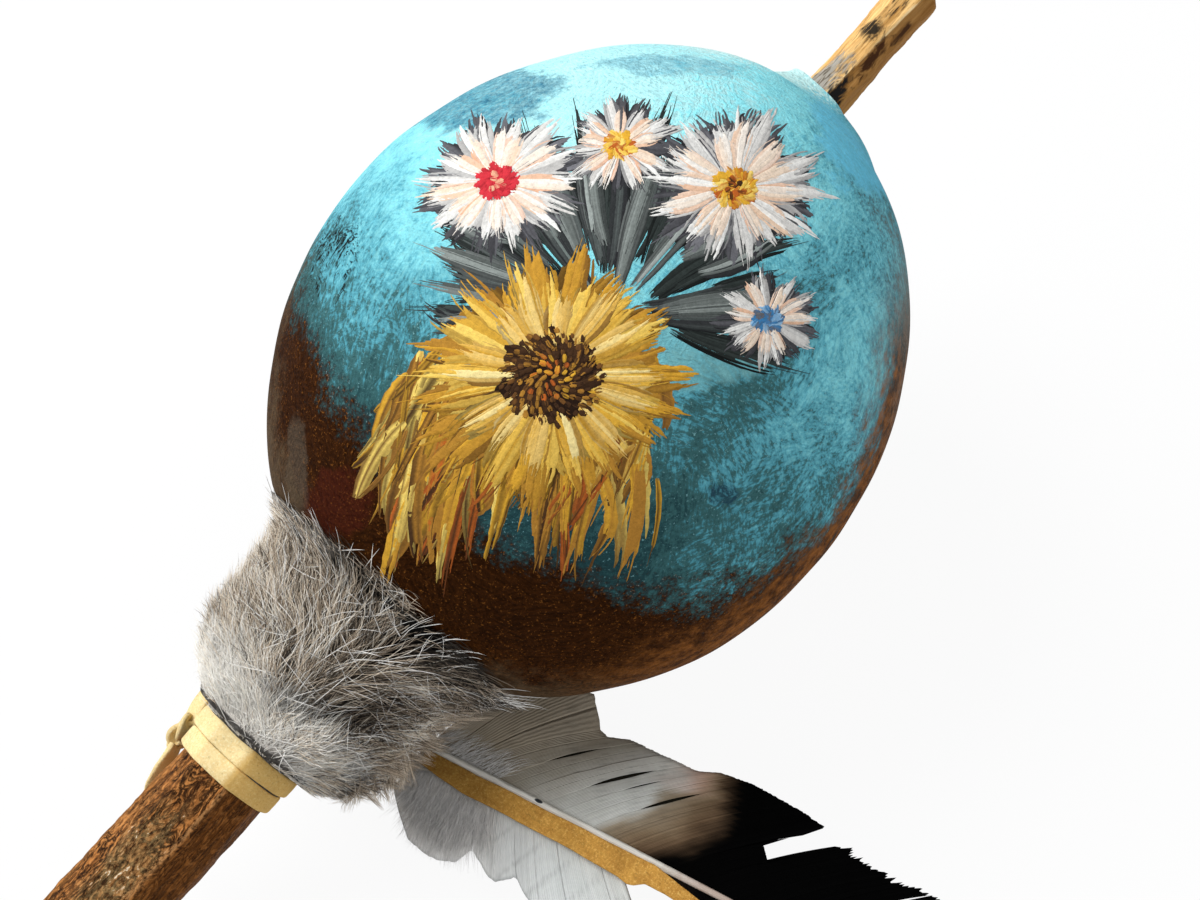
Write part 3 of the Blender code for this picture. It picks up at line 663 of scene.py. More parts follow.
def oil_paint():
    """Brushed paint: the stroke's own pigment, broken by the rough ground, and a little uneven in gloss."""
    f = Finish("oil_paint", 0.55, specular_ior_level=0.04)
    fleck = f.noise(f.place, 1.1 * MM, 4, 0.75)
    fine = f.noise(f.place, 0.4 * MM, 2, 0.6)
    f.colour(f.times(f.pigment(), f.grey(0.36 + fleck * 0.95 + fine * 0.28)))
    f.rough(0.42 + fleck * 0.34)
    f.bump(fleck * 0.7 + fine * 0.5, 0.24 * MM)
    return f.material


def whittled_wood():
    """The stick: stained dark and mottled on the grip, raw honey-coloured wood with char marks at the tip."""
    f = Finish("whittled_wood", 0.6, specular_ior_level=0.06)
    x, y, z = f.measured(DOWN), f.measured(ACROSS) - 1.3 * MM, f.measured(ALONG)
    turn = f.node("ShaderNodeMath", {"operation": "ARCTAN2"}, {0: 0.0 - y, 1: 0.0 - x})
    grain_place = f.together(x, y, z * 0.06)
    grain = f.noise(grain_place, 1.3 * MM, 4, 0.6)
    streak = f.noise(grain_place, 0.5 * MM, 3, 0.65)
    broad = f.noise(f.together(x, y, z * 0.3), 9 * MM, 3, 0.55)
    blotch = f.noise(f.together(x, y, z * 0.5), 6 * MM, 4, 0.68)
    fine = f.noise(f.together(x, y, z * 0.6), 0.9 * MM, 4, 0.7)
    bark = f.noise(f.together(x, y, z * 0.45), 2.2 * MM, 4, 0.62, 1.5)
    squiggle = (bark - 0.5).size().rise(0.085, 0.015)
    ragged = bark * 0.5 + blotch * 0.3 + grain * 0.2

    honey = f.mix(grain.rise(0.3, 0.7), (0.56, 0.285, 0.080), (0.97, 0.62, 0.25))
    honey = f.mix(streak.rise(0.52, 0.68) * 0.6, honey, (0.17, 0.070, 0.018))
    # Painted shade and light on the tip: the flat right of its ridge is painted darker, and a pale painted
    # highlight runs along the ridge.
    ridge = turn - (z - 0.088) * 10.5 + (broad - 0.5) * 0.5
    shaded = f.mix(grain, (0.09, 0.030, 0.005), (0.36, 0.155, 0.031))
    honey = f.mix(ridge.rise(0.28, 0.36) * 0.85, honey, shaded)
    honey = f.mix((ridge - 0.31).size().rise(0.09, 0.03) * grain.rise(0.4, 0.6), honey, (0.86, 0.62, 0.32))
    for middle, reach, lines, char in (((-8, 110), (30, 3.0), streak.rise(0.30, 0.46), (0.036, 0.026, 0.017)),
                                       ((0, 122), (16, 7), streak.rise(0.44, 0.58), (0.070, 0.042, 0.022)),
                                       ((50, 104.6), (17, 6), grain.rise(0.25, 0.55), (0.050, 0.018, 0.006)),
                                       ((66, 114.5), (12, 4), grain.rise(0.3, 0.6), (0.060, 0.024, 0.009))):
        honey = f.mix(spot_on_stick(turn, z, middle, reach, ragged) * lines, honey, char)
    grey = f.mix(streak.rise(0.35, 0.6), (0.075, 0.070, 0.060), (0.40, 0.38, 0.34))
    honey = f.mix(spot_on_stick(turn, z, (-16, 91), (44, 9), ragged) * 0.94, honey, grey)
    honey = f.mix(spot_on_stick(turn, z, (33, 90), (24, 8), ragged), honey, (0.010, 0.009, 0.009))
    far_side = turn.size().rise(1.9, 2.4) * (blotch + (grain - 0.5) * 0.5).rise(0.55, 0.66)
    honey = f.mix(far_side * 0.8, honey, (0.030, 0.018, 0.010))

    stain = f.mix((grain * 0.5 + fine * 0.5).rise(0.36, 0.62), (0.065, 0.021, 0.005), (0.52, 0.205, 0.054))
    stain = f.mix(broad.rise(0.46, 0.64) * fine.rise(0.35, 0.6) * 0.8, stain, (0.55, 0.24, 0.072))
    stain = f.mix(squiggle * blotch.rise(0.30, 0.54) * 0.92, stain, (0.012, 0.005, 0.002))
    stain = f.mix(blotch.rise(0.58, 0.70) * 0.75, stain, (0.022, 0.010, 0.005))
    stain = f.mix(fine.rise(0.58, 0.70) * 0.55, stain, (0.58, 0.29, 0.105))
    worn = spot_on_stick(turn, z, (8, -156), (26, 16), blotch * 0.5 + 0.25)
    rubbed = f.mix(fine.rise(0.35, 0.65), (0.040, 0.022, 0.009), (0.40, 0.27, 0.115))
    stain = f.mix(worn * 0.55, stain, rubbed)
    stain = f.mix(worn * (fine * 0.5 + bark * 0.6).rise(0.65, 0.71), stain, (0.85, 0.72, 0.52))
    # Painted light and shade on the grip: a painted highlight along the ridge, the flats right of it painted
    # darker, and the flats on the left painted lighter.
    edge = turn + (broad - 0.5) * 0.30 + (fine - 0.5) * 0.12
    ridge = (edge - 0.62).size().rise(0.07, 0.02)
    stain = f.mix(ridge * fine.rise(0.35, 0.6) * 0.7, stain, (0.55, 0.27, 0.10))
    shaded = f.mix(streak.rise(0.3, 0.7), (0.014, 0.004, 0.001), (0.18, 0.058, 0.008))
    stain = f.mix(edge.rise(0.62, 0.74) * 0.72, stain, shaded)
    stain = f.mix(edge.rise(-0.70, -1.05) * 0.5, stain, (0.46, 0.20, 0.055))
    f.colour(f.mix(z.rise(-0.075, -0.06), stain, honey))
    f.rough(0.48 + grain * 0.3 + blotch * 0.1)
    grip_relief = z.rise(-0.06, -0.075) * (bark * 0.8 + fine * 0.5 - squiggle * 0.4)
    f.bump(grain * 0.4 + streak * 0.3 + grip_relief, 0.5 * MM)
    return f.material


def spot_on_stick(turn, z, middle, reach, noise):
    """A ragged patch on the stick, round a middle given in degrees from its top and millimetres along it."""
    across = (turn - math.radians(middle[0])) / math.radians(reach[0])
    along = (z - middle[1] * MM) / (reach[1] * MM)
    return ((across ** 2 + along ** 2) ** 0.5 + (noise - 0.5) * 4.5).rise(1.3, 0.55)


def suede(name, low, high, dust):
    """Suede: short nap in two sizes, worn lighter on the high spots and rubbed in streaks."""
    f = Finish(name, 0.92, specular_ior_level=0.06)
    nap = f.noise(f.place, 0.55 * MM, 4, 0.8)
    rub = f.noise(f.place, 2.6 * MM, 3, 0.6)
    fibre = f.noise(f.stretched(f.place, (1.0, 0.45, 1.0)), 0.9 * MM, 4, 0.75)
    base = f.mix(rub.rise(0.2, 0.8) * 0.45 + nap.rise(0.3, 0.7) * 0.55, low, high)
    base = f.mix(nap.rise(0.52, 0.68) * 0.75, base, dust)
    base = f.mix(fibre.rise(0.46, 0.30) * 0.6, base, tuple(0.6 * c for c in low))
    f.colour(f.times(base, f.pigment()))
    f.rough(0.82 + nap * 0.16)
    f.bump(nap * 0.8 + rub * 0.4 + fibre * 0.5, 0.32 * MM)
    return f.material


def hair_finish(name, roughness):
    """Hair and down: each strand's own colour, with a faint mottling."""
    f = Finish(name, roughness, specular_ior_level=0.1)
    fleck = f.noise(f.place, 1.6 * MM, 3, 0.6)
    f.colour(f.times(f.pigment(), f.grey(0.76 + fleck * 0.48)))
    f.rough(roughness - 0.1 + fleck * 0.2)
    return f.material


def barb_finish():
    """Feather vane: the barbs' own colours with fine lines along the barbs, spaced by their roots."""
    f = Finish("feather_vane", 0.6, specular_ior_level=0.02)
    root = f.node("ShaderNodeAttribute", {"attribute_name": "barb"}, output="Fac")
    fleck = f.noise(f.place, 2.2 * MM, 3, 0.6)
    line = (root * (2 * math.pi / (0.46 * MM)) + fleck * 5).sine() * 0.5 + 0.5
    f.colour(f.times(f.pigment(), f.grey(0.84 + line * 0.08 + fleck * 0.18)))
    f.rough(0.5 + fleck * 0.2)
    f.bump(line, 0.08 * MM)
    return f.material


def pelt_finish():
    """The dense underfur between the hairs: mottled, paler where the hair over it is pale."""
    f = Finish("underfur", 0.95, specular_ior_level=0.05)
    tuft = f.noise(f.place, 2.6 * MM, 4, 0.7)
    fine = f.noise(f.place, 0.6 * MM, 3, 0.7)
    base = f.mix(tuft.rise(0.35, 0.7), (0.35, 0.32, 0.29), (1.0, 0.94, 0.86))
    f.colour(f.times(f.times(base, f.grey(0.6 + fine * 0.8)), f.pigment()))
    f.rough(0.9 + fine * 0.1)
    f.bump(tuft + fine * 0.6, 1.2 * MM)
    return f.material


def quill_finish():
    """The feather's shaft: pale horn, darker towards the tip, with fine long lines and one dark spot."""
    f = Finish("quill_horn", 0.4, specular_ior_level=0.25)
    along = f.measured(FEATHER_ALONG, FEATHER_EXIT)
    across = f.measured(FEATHER_SIDE, FEATHER_EXIT) - SHAFT_OFFSET
    line = f.noise(f.together(along * 0.04, across, 0.0), 0.35 * MM, 3, 0.6)
    mottle = f.noise(f.place, 3 * MM, 3)
    pale = f.mix(line.rise(0.35, 0.65), (0.76, 0.73, 0.65), (0.97, 0.95, 0.88))
    # Painted shadow: one edge of the shaft is painted grey along its length.
    pale = f.mix((across + (mottle - 0.5) * 0.001).rise(0.0003, 0.0009) * 0.6, pale, (0.30, 0.29, 0.25))
    pale = f.mix((along + (mottle - 0.5) * 0.02).rise(0.062, 0.078) * 0.7, pale, (0.42, 0.27, 0.20))
    spot = (((along - 0.0324) / 0.0011) ** 2 + ((across - 0.0004) / 0.0005) ** 2).rise(1.2, 0.6)
    pale = f.mix(spot, pale, (0.03, 0.035, 0.04))
    tip = (along + (mottle - 0.5) * 0.01).rise(0.080, 0.096)
    f.colour(f.mix(tip, pale, (0.012, 0.009, 0.007)))
    f.rough(0.35 + line * 0.2)
    f.bump(line, 0.1 * MM)
    return f.material


def glue_finish():
    """Dried hide glue, amber and bubbled."""
    f = Finish("hide_glue", 0.35, coat_weight=0.3)
    bubble = f.cells(f.place, 1.3 * MM)
    drift = f.noise(f.place, 4 * MM, 3)
    f.colour(f.mix(drift.rise(0.35, 0.65), (0.10, 0.05, 0.016), (0.36, 0.22, 0.08)))
    f.rough(0.22 + drift * 0.3)
    f.bump(bubble, 0.3 * MM)
    return f.material


def pebble_finish():
    """River pebbles: grey-brown stone with paler veins and fine grit."""
    f = Finish("river_stone", 0.7)
    drift = f.noise(f.place, 7 * MM, 4, 0.6)
    grit = f.noise(f.place, 0.5 * MM, 3, 0.7)
    vein = (f.noise(f.place, 5 * MM, 2, 0.5, 1.2) - 0.5).size().rise(0.03, 0.008)
    base = f.mix(drift.rise(0.35, 0.65), (0.16, 0.14, 0.12), (0.42, 0.38, 0.32))
    base = f.mix(vein * 0.6, base, (0.62, 0.60, 0.56))
    f.colour(f.times(base, f.grey(0.75 + grit * 0.5)))
    f.rough(0.55 + grit * 0.3)
    f.bump(grit + drift * 0.5, 0.25 * MM)
    return f.material


# Gourd


def gourd_half(place, inset):
    """Half length of the gourd on each side of its widest section, and the power of its oval there."""
    return np.where(place > 0, GOURD_TOP, GOURD_BASE) - inset, np.where(place > 0, GOURD_TOP_FULLNESS, 2.0)


def gourd_radius(place):
    """Radius of the gourd's outside at a place along the stick."""
    half, power = gourd_half(place, 0)
    return GOURD_RADIUS * np.maximum(0, 1 - np.abs(place / half) ** power) ** (1 / power)


def skin_lumps(directions):
    """How far the grown skin stands out from a true ellipsoid, by direction from the gourd's heart."""
    return SKIN_LUMP * (wander(directions, 1.6, 3, 2) + 0.35 * wander(directions, 0.45, 4, 2))


def gourd_arc(start, end, inset, count):
    """Radius r and place p on the gourd's oval (r/R)^n + (p/H)^n = 1, at even turns between two places."""
    ends = np.array((start, end))
    half, power = gourd_half(ends, inset)
    turns = np.arccos(np.sign(ends) * np.abs(ends / half) ** (power / 2))
    upwards = np.cos(np.linspace(turns[0], turns[1], count))
    half, power = gourd_half(upwards, inset)
    place = np.sign(upwards) * half * np.abs(upwards) ** (2 / power)
    return joined((GOURD_RADIUS - inset) * (1 - upwards ** 2) ** (1 / power), place)


def base_place(radius, inset):
    """Where along the stick the gourd's base has that radius."""
    return -(GOURD_BASE - inset) * math.sqrt(1 - (radius / (GOURD_RADIUS - inset)) ** 2)


def gourd_skin(finish):
    """The hollow shell: one closed profile, up the outside from the base hole to the neck's rim and down the
    inside, turned about the stick. The neck flares evenly on the right and swells on the left, where it leans
    with the stick; lumps are added outwards, and the lowest part is cut flat."""
    sides = 330
    angle = round_angles(sides)
    step = np.linspace(1, 0, 30)
    foot = float(gourd_radius(np.array(NECK_FOOT)))
    body = gourd_arc(NECK_FOOT, base_place(BASE_HOLE_RADIUS, 0), 0, 180)[:0:-1]
    swell = near(angle, 112, 50)
    rim = NECK_EDGE + NECK_SWELL * swell
    flare = rim + (foot - rim) * step[:, None] ** (1.6 - 1.1 * near(angle, 290, 62))
    turn = np.linspace(0, math.pi, 9)[1:-1]
    lip = (rim + NECK_BORE) / 2 + (rim - NECK_BORE) / 2 * np.cos(turn)[:, None]
    lip_place = NECK_RIM + 0.6 * MM * np.sin(turn) - 0.7 * MM * (1 - np.cos(turn))
    inner_top = (GOURD_TOP - GOURD_WALL) * 0.985
    inside = gourd_arc(inner_top, base_place(BASE_HOLE_RADIUS, GOURD_WALL), GOURD_WALL, 60)
    reach = np.concatenate([np.repeat(body[:, :1], sides, 1), flare, lip, np.full((5, sides), NECK_BORE),
                            np.repeat(inside[:, :1], sides, 1)])
    places = np.concatenate([body[:, 1], NECK_RIM + (NECK_FOOT - NECK_RIM) * step, lip_place,
                             np.linspace(NECK_RIM - 1.5 * MM, inner_top + 2 * MM, 5), inside[:, 1]])
    raised = places[:, None] + NECK_RISE * swell * smooth(places, NECK_FOOT, NECK_RIM - 2 * MM)[:, None]
    is_outside = np.arange(len(places)) < len(body) + len(step)
    for middle, width, depth in ((80, 3.6, 2.0), (68, 9, 0.6), (-54, 15, 1.2)):
        dip = depth * MM * bell(places, middle * MM, width * MM) * is_outside
        reach = reach - dip[:, None] * swell
    shape = joined(reach * np.cos(angle), reach * np.sin(angle), raised)
    outer = shape[:len(body) + len(step)]
    directions = unit(from_stick(outer) - HEART)
    place = outer[..., 2]
    share = smooth(place, base_place(BASE_HOLE_RADIUS, 0), -74 * MM) * smooth(place, 82 * MM, 66 * MM)
    outer += unit(outer) * (skin_lumps(directions) * share)[..., None]
    shape[..., 1] += stick_bend(NECK_RIM) * smooth(shape[..., 2], NECK_FOOT - 6 * MM, NECK_RIM - 6 * MM)
    points = from_stick(shape)
    points[..., 2] = np.maximum(points[..., 2], 0)
    faces = [grid_faces(len(places), sides, round_rows=True, round_columns=True)]
    return add_piece("gourd_skin", points, faces, finish, "rattle", ["gourd_shell"])


def neck_glue(finish):
    """The glue that closes the neck round the stick: a ring of round section, half sunk in the bore."""
    sides, turn = 96, round_angles(12)
    angle = round_angles(sides)
    reach = NECK_BORE - 0.35 * MM + 0.55 * MM * np.cos(turn)
    place = NECK_RIM - 2.2 * MM + 0.8 * MM * np.sin(turn)
    points = from_round(angle, reach[:, None], place[:, None]) + ACROSS * stick_bend(NECK_RIM)
    faces = [grid_faces(len(turn), sides, round_rows=True, round_columns=True)[:, ::-1]]
    return add_piece("neck_glue", points, faces, finish, "rattle", ["tip_glue_collar"])


def on_gourd(across, above, lift):
    """World places on the gourd's front for places across its face, in gourd radii, lifted off the skin."""
    depth = np.sqrt(np.maximum(0.02, 1 - across ** 2 - above ** 2))
    direction = unit(across[..., None] * RIGHT + above[..., None] * UP + depth[..., None] * TOWARDS)
    x, y, z = direction @ DOWN, direction @ ACROSS, direction @ ALONG
    half, power = gourd_half(z, 0)
    reach = ((np.hypot(x, y) / GOURD_RADIUS) ** power + np.abs(z / half) ** power) ** (-1 / power)
    return HEART + direction * (reach + skin_lumps(direction) + lift)[..., None]


class Bouquet:
    """Brush strokes gathered for one piece: each has a bent middle line, a width and two pigments."""

    def __init__(self, seed):
        self.rng = np.random.default_rng(seed)
        self.strokes = []

    def add(self, start, bend, end, width, pigment, second, lift, body, dryness, shape):
        """Strokes from start over bend to end (arrays of two columns), width in gourd radii, lift and body
        in PAINT_DEPTHs. Dryness thins the far end into bristle lines, shape puts the widest part along it."""
        start, bend, end = (np.atleast_2d(np.asarray(a, float)) for a in (start, bend, end))
        count = len(end)
        spread = [np.broadcast_to(a, (count,)) for a in (width, lift, body, dryness, shape)]
        colours = [np.broadcast_to(a, (count, 3)) for a in (pigment, second)]
        self.strokes.append((np.broadcast_to(start, (count, 2)), np.broadcast_to(bend, (count, 2)), end,
                             *spread, *colours))

    def make(self, name, finish, rows, columns):
        """Each stroke is a grid: along a quadratic Bezier line and across it. Its height is the lift plus
        bristle ridges; where the brush ran dry or past the edge it dips under the skin, out of sight."""
        rng = self.rng
        parts = [np.concatenate(group) for group in zip(*self.strokes)]
        start, bend, end, width, lift, body, dryness, shape, pigment, second = parts
        count = len(end)
        u = np.linspace(0, 1, rows)
        v = np.linspace(-1, 1, columns)
        line = ((1 - u) ** 2)[:, None] * start[:, None] + (2 * u * (1 - u))[:, None] * bend[:, None]
        line = line + (u ** 2)[:, None] * end[:, None]
        tangent = unit(np.gradient(line, axis=1))
        normal = joined(-tangent[..., 1], tangent[..., 0])
        power = np.log(0.5) / np.log(shape)
        fullness = np.sin(math.pi * u[None] ** power[:, None]) ** 0.6
        breadth = width[:, None] * (0.22 + 0.78 * fullness)
        edge = v[None, None] * (1 + 0.10 * rng.normal(size=(count, rows, 1)) * np.abs(v)[None, None])
        across = line[..., None, :] + normal[..., None, :] * (edge * breadth[..., None])[..., None]

        bristle = rng.normal(size=(count, 1, columns))
        streak = np.cumsum(rng.normal(size=(count, rows, columns)), axis=1) / math.sqrt(rows)
        ridge = np.clip(0.5 + 0.26 * bristle + 0.24 * streak, 0, 1)
        last = 1 - rng.uniform(0.0, 0.22, (count, 1, columns)) * (0.5 + dryness[:, None, None])
        first = rng.uniform(0.0, 0.05, (count, 1, columns))
        cover = smooth(u[None, :, None] - first, 0.0, 0.03) * smooth(last - u[None, :, None], 0.0, 0.04)
        thin = dryness[:, None, None] * smooth(u, 0.45, 1.0)[None, :, None]
        cover = cover * smooth(ridge, thin * 0.75 - 0.10, thin * 0.75 + 0.06)
        cover = cover * (np.abs(v) < 0.999)[None, None]
        crown = 1 - 0.35 * np.abs(v)[None, None] ** 3
        high = lift[:, None, None] + body[:, None, None] * (0.25 + 0.75 * ridge) * crown
        height = (high * cover * PAINT_DEPTH - 0.12 * (1 - cover)) * MM
        points = on_gourd(across[..., 0], across[..., 1], height)

        share = np.clip(0.5 + 0.9 * (ridge - 0.5) + 0.25 * rng.normal(size=(count, 1, columns)), 0, 1)
        share = np.clip(share + 0.35 * (u[None, :, None] - 0.5), 0, 1)[..., None]
        colours = pigment[:, None, None] * (1 - share) + second[:, None, None] * share
        quads = grid_faces(rows, columns)[:, ::-1]
        faces = (quads[None] + (np.arange(count) * rows * columns)[:, None, None]).reshape(-1, 4)
        template = joined(quads // columns / (rows - 1), quads % columns / (columns - 1))
        return add_piece(name, points, [faces], finish, "rattle", colours=colours,
                         uv=cells(count, template.reshape(-1, 2)))


CHARCOAL = (0.022, 0.022, 0.025)
SLATE = (0.13, 0.135, 0.15)
WHITE = (0.86, 0.86, 0.83)
CREAM = (0.80, 0.62, 0.46)
PEACH = (0.72, 0.40, 0.25)
LEMON = (0.86, 0.63, 0.15)
GOLD = (0.70, 0.38, 0.036)
OCHRE = (0.40, 0.19, 0.03)
UMBER = (0.055, 0.026, 0.012)
RUST = (0.48, 0.115, 0.02)
CRIMSON = (0.60, 0.035, 0.05)
BLUE = (0.05, 0.20, 0.42)

# Where the flowers are on the gourd's face, in gourd radii
SUNFLOWER = (-0.10, -0.06)
RED_DAISY = (-0.27, 0.52)
GOLD_DAISY = (0.42, 0.49)
SMALL_DAISY = (0.09, 0.62)
BLUE_DAISY = (0.52, 0.11)
FLOWER_HEIGHT = 0.92
PETAL_BODY = 0.22
GOLDEN_TURN = 2.39996


def ring_of_petals(bouquet, centre, inner, outer, count, width, strokes, pigments, lift, turn, dryness):
    """Petals from one radius to another round a centre, with uneven lengths, turns and bends."""
    rng = bouquet.rng
    angle = turn + (np.arange(count) + rng.uniform(-0.28, 0.28, count)) * 2 * math.pi / count
    way = joined(np.cos(angle), np.sin(angle) * FLOWER_HEIGHT)
    aside = joined(-np.sin(angle), np.cos(angle) * FLOWER_HEIGHT)
    far = outer * rng.uniform(0.84, 1.10, (count, 1))
    near_end = inner * rng.uniform(0.75, 1.05, (count, 1))
    bend = aside * rng.uniform(-0.12, 0.12, (count, 1)) * outer
    add_petals(bouquet, centre + way * near_end, centre + way * (near_end + far) / 2 + bend,
               centre + way * far + bend * 0.6, width, strokes, pigments, lift, dryness)


def add_petals(bouquet, foot, bend, tip, width, strokes, pigments, lift, dryness):
    """Petals or leaves from foot over bend to tip, each a bundle of strokes laid side by side: shaded at its
    edges, lightest beside its middle, and longest there. The pigments are shade, body colour and light."""
    rng = bouquet.rng
    count = len(tip)
    way = unit(tip - foot)
    aside = joined(-way[:, 1], way[:, 0])[:, None]
    place = np.linspace(-1, 1, strokes)[None] + rng.normal(0, 0.14, (count, strokes))
    shade, middle, light = (np.array(p) for p in pigments)
    dark = np.clip((np.abs(place) - 0.4) / 0.6, 0, 1) * rng.uniform(0.3, 1, (count, strokes))
    bright = np.clip(1 - np.abs(place - 0.15) / 0.7, 0, 1) * rng.uniform(0.1, 1, (count, strokes))
    colour = middle + (shade - middle) * dark[..., None] + (light - middle) * bright[..., None]
    second = colour + (light - colour) * rng.uniform(0, 0.5, (count, strokes, 1))
    shift = aside * (place * width)[..., None]
    reach = 1 - 0.14 * place ** 2 + rng.normal(0, 0.05, (count, strokes))
    end = foot[:, None] + (tip - foot)[:, None] * reach[..., None] + 0.35 * shift
    high = lift * (1 + 0.3 * (1 - np.abs(place)) + rng.uniform(0, 0.2, (count, strokes)))
    bouquet.add((foot[:, None] + 0.3 * shift).reshape(-1, 2), (bend[:, None] + shift).reshape(-1, 2),
                end.reshape(-1, 2), width / strokes * rng.uniform(1.2, 2.2, count * strokes),
                colour.reshape(-1, 3), second.reshape(-1, 3), high.ravel(), PETAL_BODY, dryness, 0.5)


def painted_flowers(finish):
    """A bunch of garden flowers in brushed paint: long leaves behind, daisies, a sunflower and dry grass."""
    back = Bouquet(21)
    rng = back.rng
    count = 70
    angle = np.linspace(-0.1, 3.25, count) + rng.normal(0, 0.05, count)
    way = joined(np.cos(angle) * 0.86, np.sin(angle) * 0.95)
    aside = joined(-np.sin(angle), np.cos(angle))
    middle = np.array((0.06, 0.10))
    foot = middle + way * rng.uniform(0.10, 0.42, (count, 1))
    tip = middle + way * rng.uniform(0.56, 0.80, (count, 1)) + aside * rng.normal(0, 0.05, (count, 1))
    bend = (foot + tip) / 2 + aside * rng.normal(0, 0.035, (count, 1))
    for part, lift, pigments in (
            (slice(0, None, 2), 0.08, ((0.005, 0.006, 0.006), (0.012, 0.015, 0.014), (0.055, 0.070, 0.066))),
            (slice(1, None, 4), 0.17, ((0.008, 0.009, 0.010), CHARCOAL, (0.15, 0.18, 0.17))),
            (slice(3, None, 4), 0.26, (CHARCOAL, (0.05, 0.060, 0.056), (0.36, 0.40, 0.38)))):
        add_petals(back, foot[part], bend[part], tip[part], 0.034, 5, pigments, lift, 0.95)
    count = 210
    foot = joined(rng.uniform(-0.50, 0.20, count), rng.uniform(-0.34, 0.04, count))
    fall = joined(rng.uniform(-0.20, 0.02, count), rng.uniform(-0.40, -0.16, count))
    bright = np.array((OCHRE, GOLD, LEMON, GOLD, RUST, OCHRE))
    deep = np.array((UMBER, OCHRE, (0.15, 0.07, 0.02), UMBER))
    back.add(foot, foot + fall * 0.5 + rng.normal(size=(count, 2)) * 0.04, foot + fall,
             rng.uniform(0.010, 0.030, count), bright[rng.integers(0, 6, count)],
             deep[rng.integers(0, 4, count)], rng.uniform(0.04, 0.24, count), 0.16, 1.0, 0.36)
    back.make("painted_leaves", finish, 22, 7)

    daisies = Bouquet(22)
    for centre, size, count, turn in ((RED_DAISY, 0.27, 15, 0.2), (GOLD_DAISY, 0.27, 15, 0.0),
                                      (SMALL_DAISY, 0.18, 12, 0.5), (BLUE_DAISY, 0.17, 11, 0.3)):
        ring_of_petals(daisies, centre, 0.3 * size, size * 1.06, count, 0.15 * size, 4,
                       ((0.012, 0.012, 0.014), CHARCOAL, (0.20, 0.20, 0.22)), 0.30, turn, 0.75)
        ring_of_petals(daisies, centre, 0.2 * size, size, count, 0.14 * size, 5,
                       ((0.10, 0.10, 0.11), (0.62, 0.60, 0.57), WHITE), 0.44, turn + 0.2, 0.7)
        ring_of_petals(daisies, centre, 0.2 * size, size * 0.84, count - 3, 0.11 * size, 4,
                       (PEACH, CREAM, WHITE), 0.58, turn + 0.35, 0.7)
    daisies.make("painted_daisies", finish, 24, 7)

    sun = Bouquet(23)
    for inner, outer, count, width, pigments, lift, turn, dryness in (
            (0.10, 0.43, 19, 0.058, ((0.03, 0.014, 0.006), OCHRE, GOLD), 0.42, 0.0, 0.75),
            (0.10, 0.39, 17, 0.052, (UMBER, GOLD, LEMON), 0.54, 0.13, 0.65),
            (0.11, 0.33, 14, 0.044, ((0.16, 0.075, 0.02), GOLD, (0.88, 0.74, 0.34)), 0.68, 0.05, 0.65)):
        ring_of_petals(sun, SUNFLOWER, inner, outer, count, width, 5, pigments, lift, turn, dryness)
    sun.make("painted_sunflower", finish, 26, 7)

    centres = Bouquet(24)
    rng = centres.rng
    for centre, size, pigments, count, dot, lift in (
            (SUNFLOWER, 0.125, (UMBER, (0.020, 0.010, 0.006)), 60, 0.030, 0.84),
            (SUNFLOWER, 0.145, (UMBER, (0.16, 0.07, 0.02), UMBER, OCHRE), 150, 0.009, 1.00),
            (SUNFLOWER, 0.075, (OCHRE, GOLD, RUST, UMBER), 34, 0.009, 1.14),
            (RED_DAISY, 0.060, (CRIMSON, (0.40, 0.02, 0.03), CRIMSON), 44, 0.014, 0.76),
            (RED_DAISY, 0.03, (PEACH, CRIMSON), 8, 0.010, 0.90),
            (GOLD_DAISY, 0.060, (GOLD, RUST, LEMON), 44, 0.014, 0.76),
            (GOLD_DAISY, 0.03, (RUST, UMBER), 8, 0.010, 0.90),
            (SMALL_DAISY, 0.044, (GOLD, LEMON, RUST), 28, 0.013, 0.76),
            (BLUE_DAISY, 0.042, (BLUE, BLUE, SLATE, (0.3, 0.5, 0.7)), 26, 0.013, 0.76)):
        radius = size * np.sqrt((np.arange(count) + 0.5) / count)
        angle = np.arange(count) * GOLDEN_TURN
        spot = centre + joined(radius * np.cos(angle), FLOWER_HEIGHT * radius * np.sin(angle))
        way = joined(np.cos(angle + 0.5), np.sin(angle + 0.5)) * dot * rng.uniform(1.0, 1.8, (count, 1))
        palette = np.array(pigments)
        centres.add(spot - way, spot + rng.normal(size=(count, 2)) * 0.003, spot + way,
                    dot * rng.uniform(0.8, 1.3, count), palette[rng.integers(0, len(palette), count)],
                    palette[rng.integers(0, len(palette), count)], lift * rng.uniform(0.9, 1.1, count), 0.28,
                    0.15, 0.5)
    centres.make("painted_dabs", finish, 12, 7)


# Stick


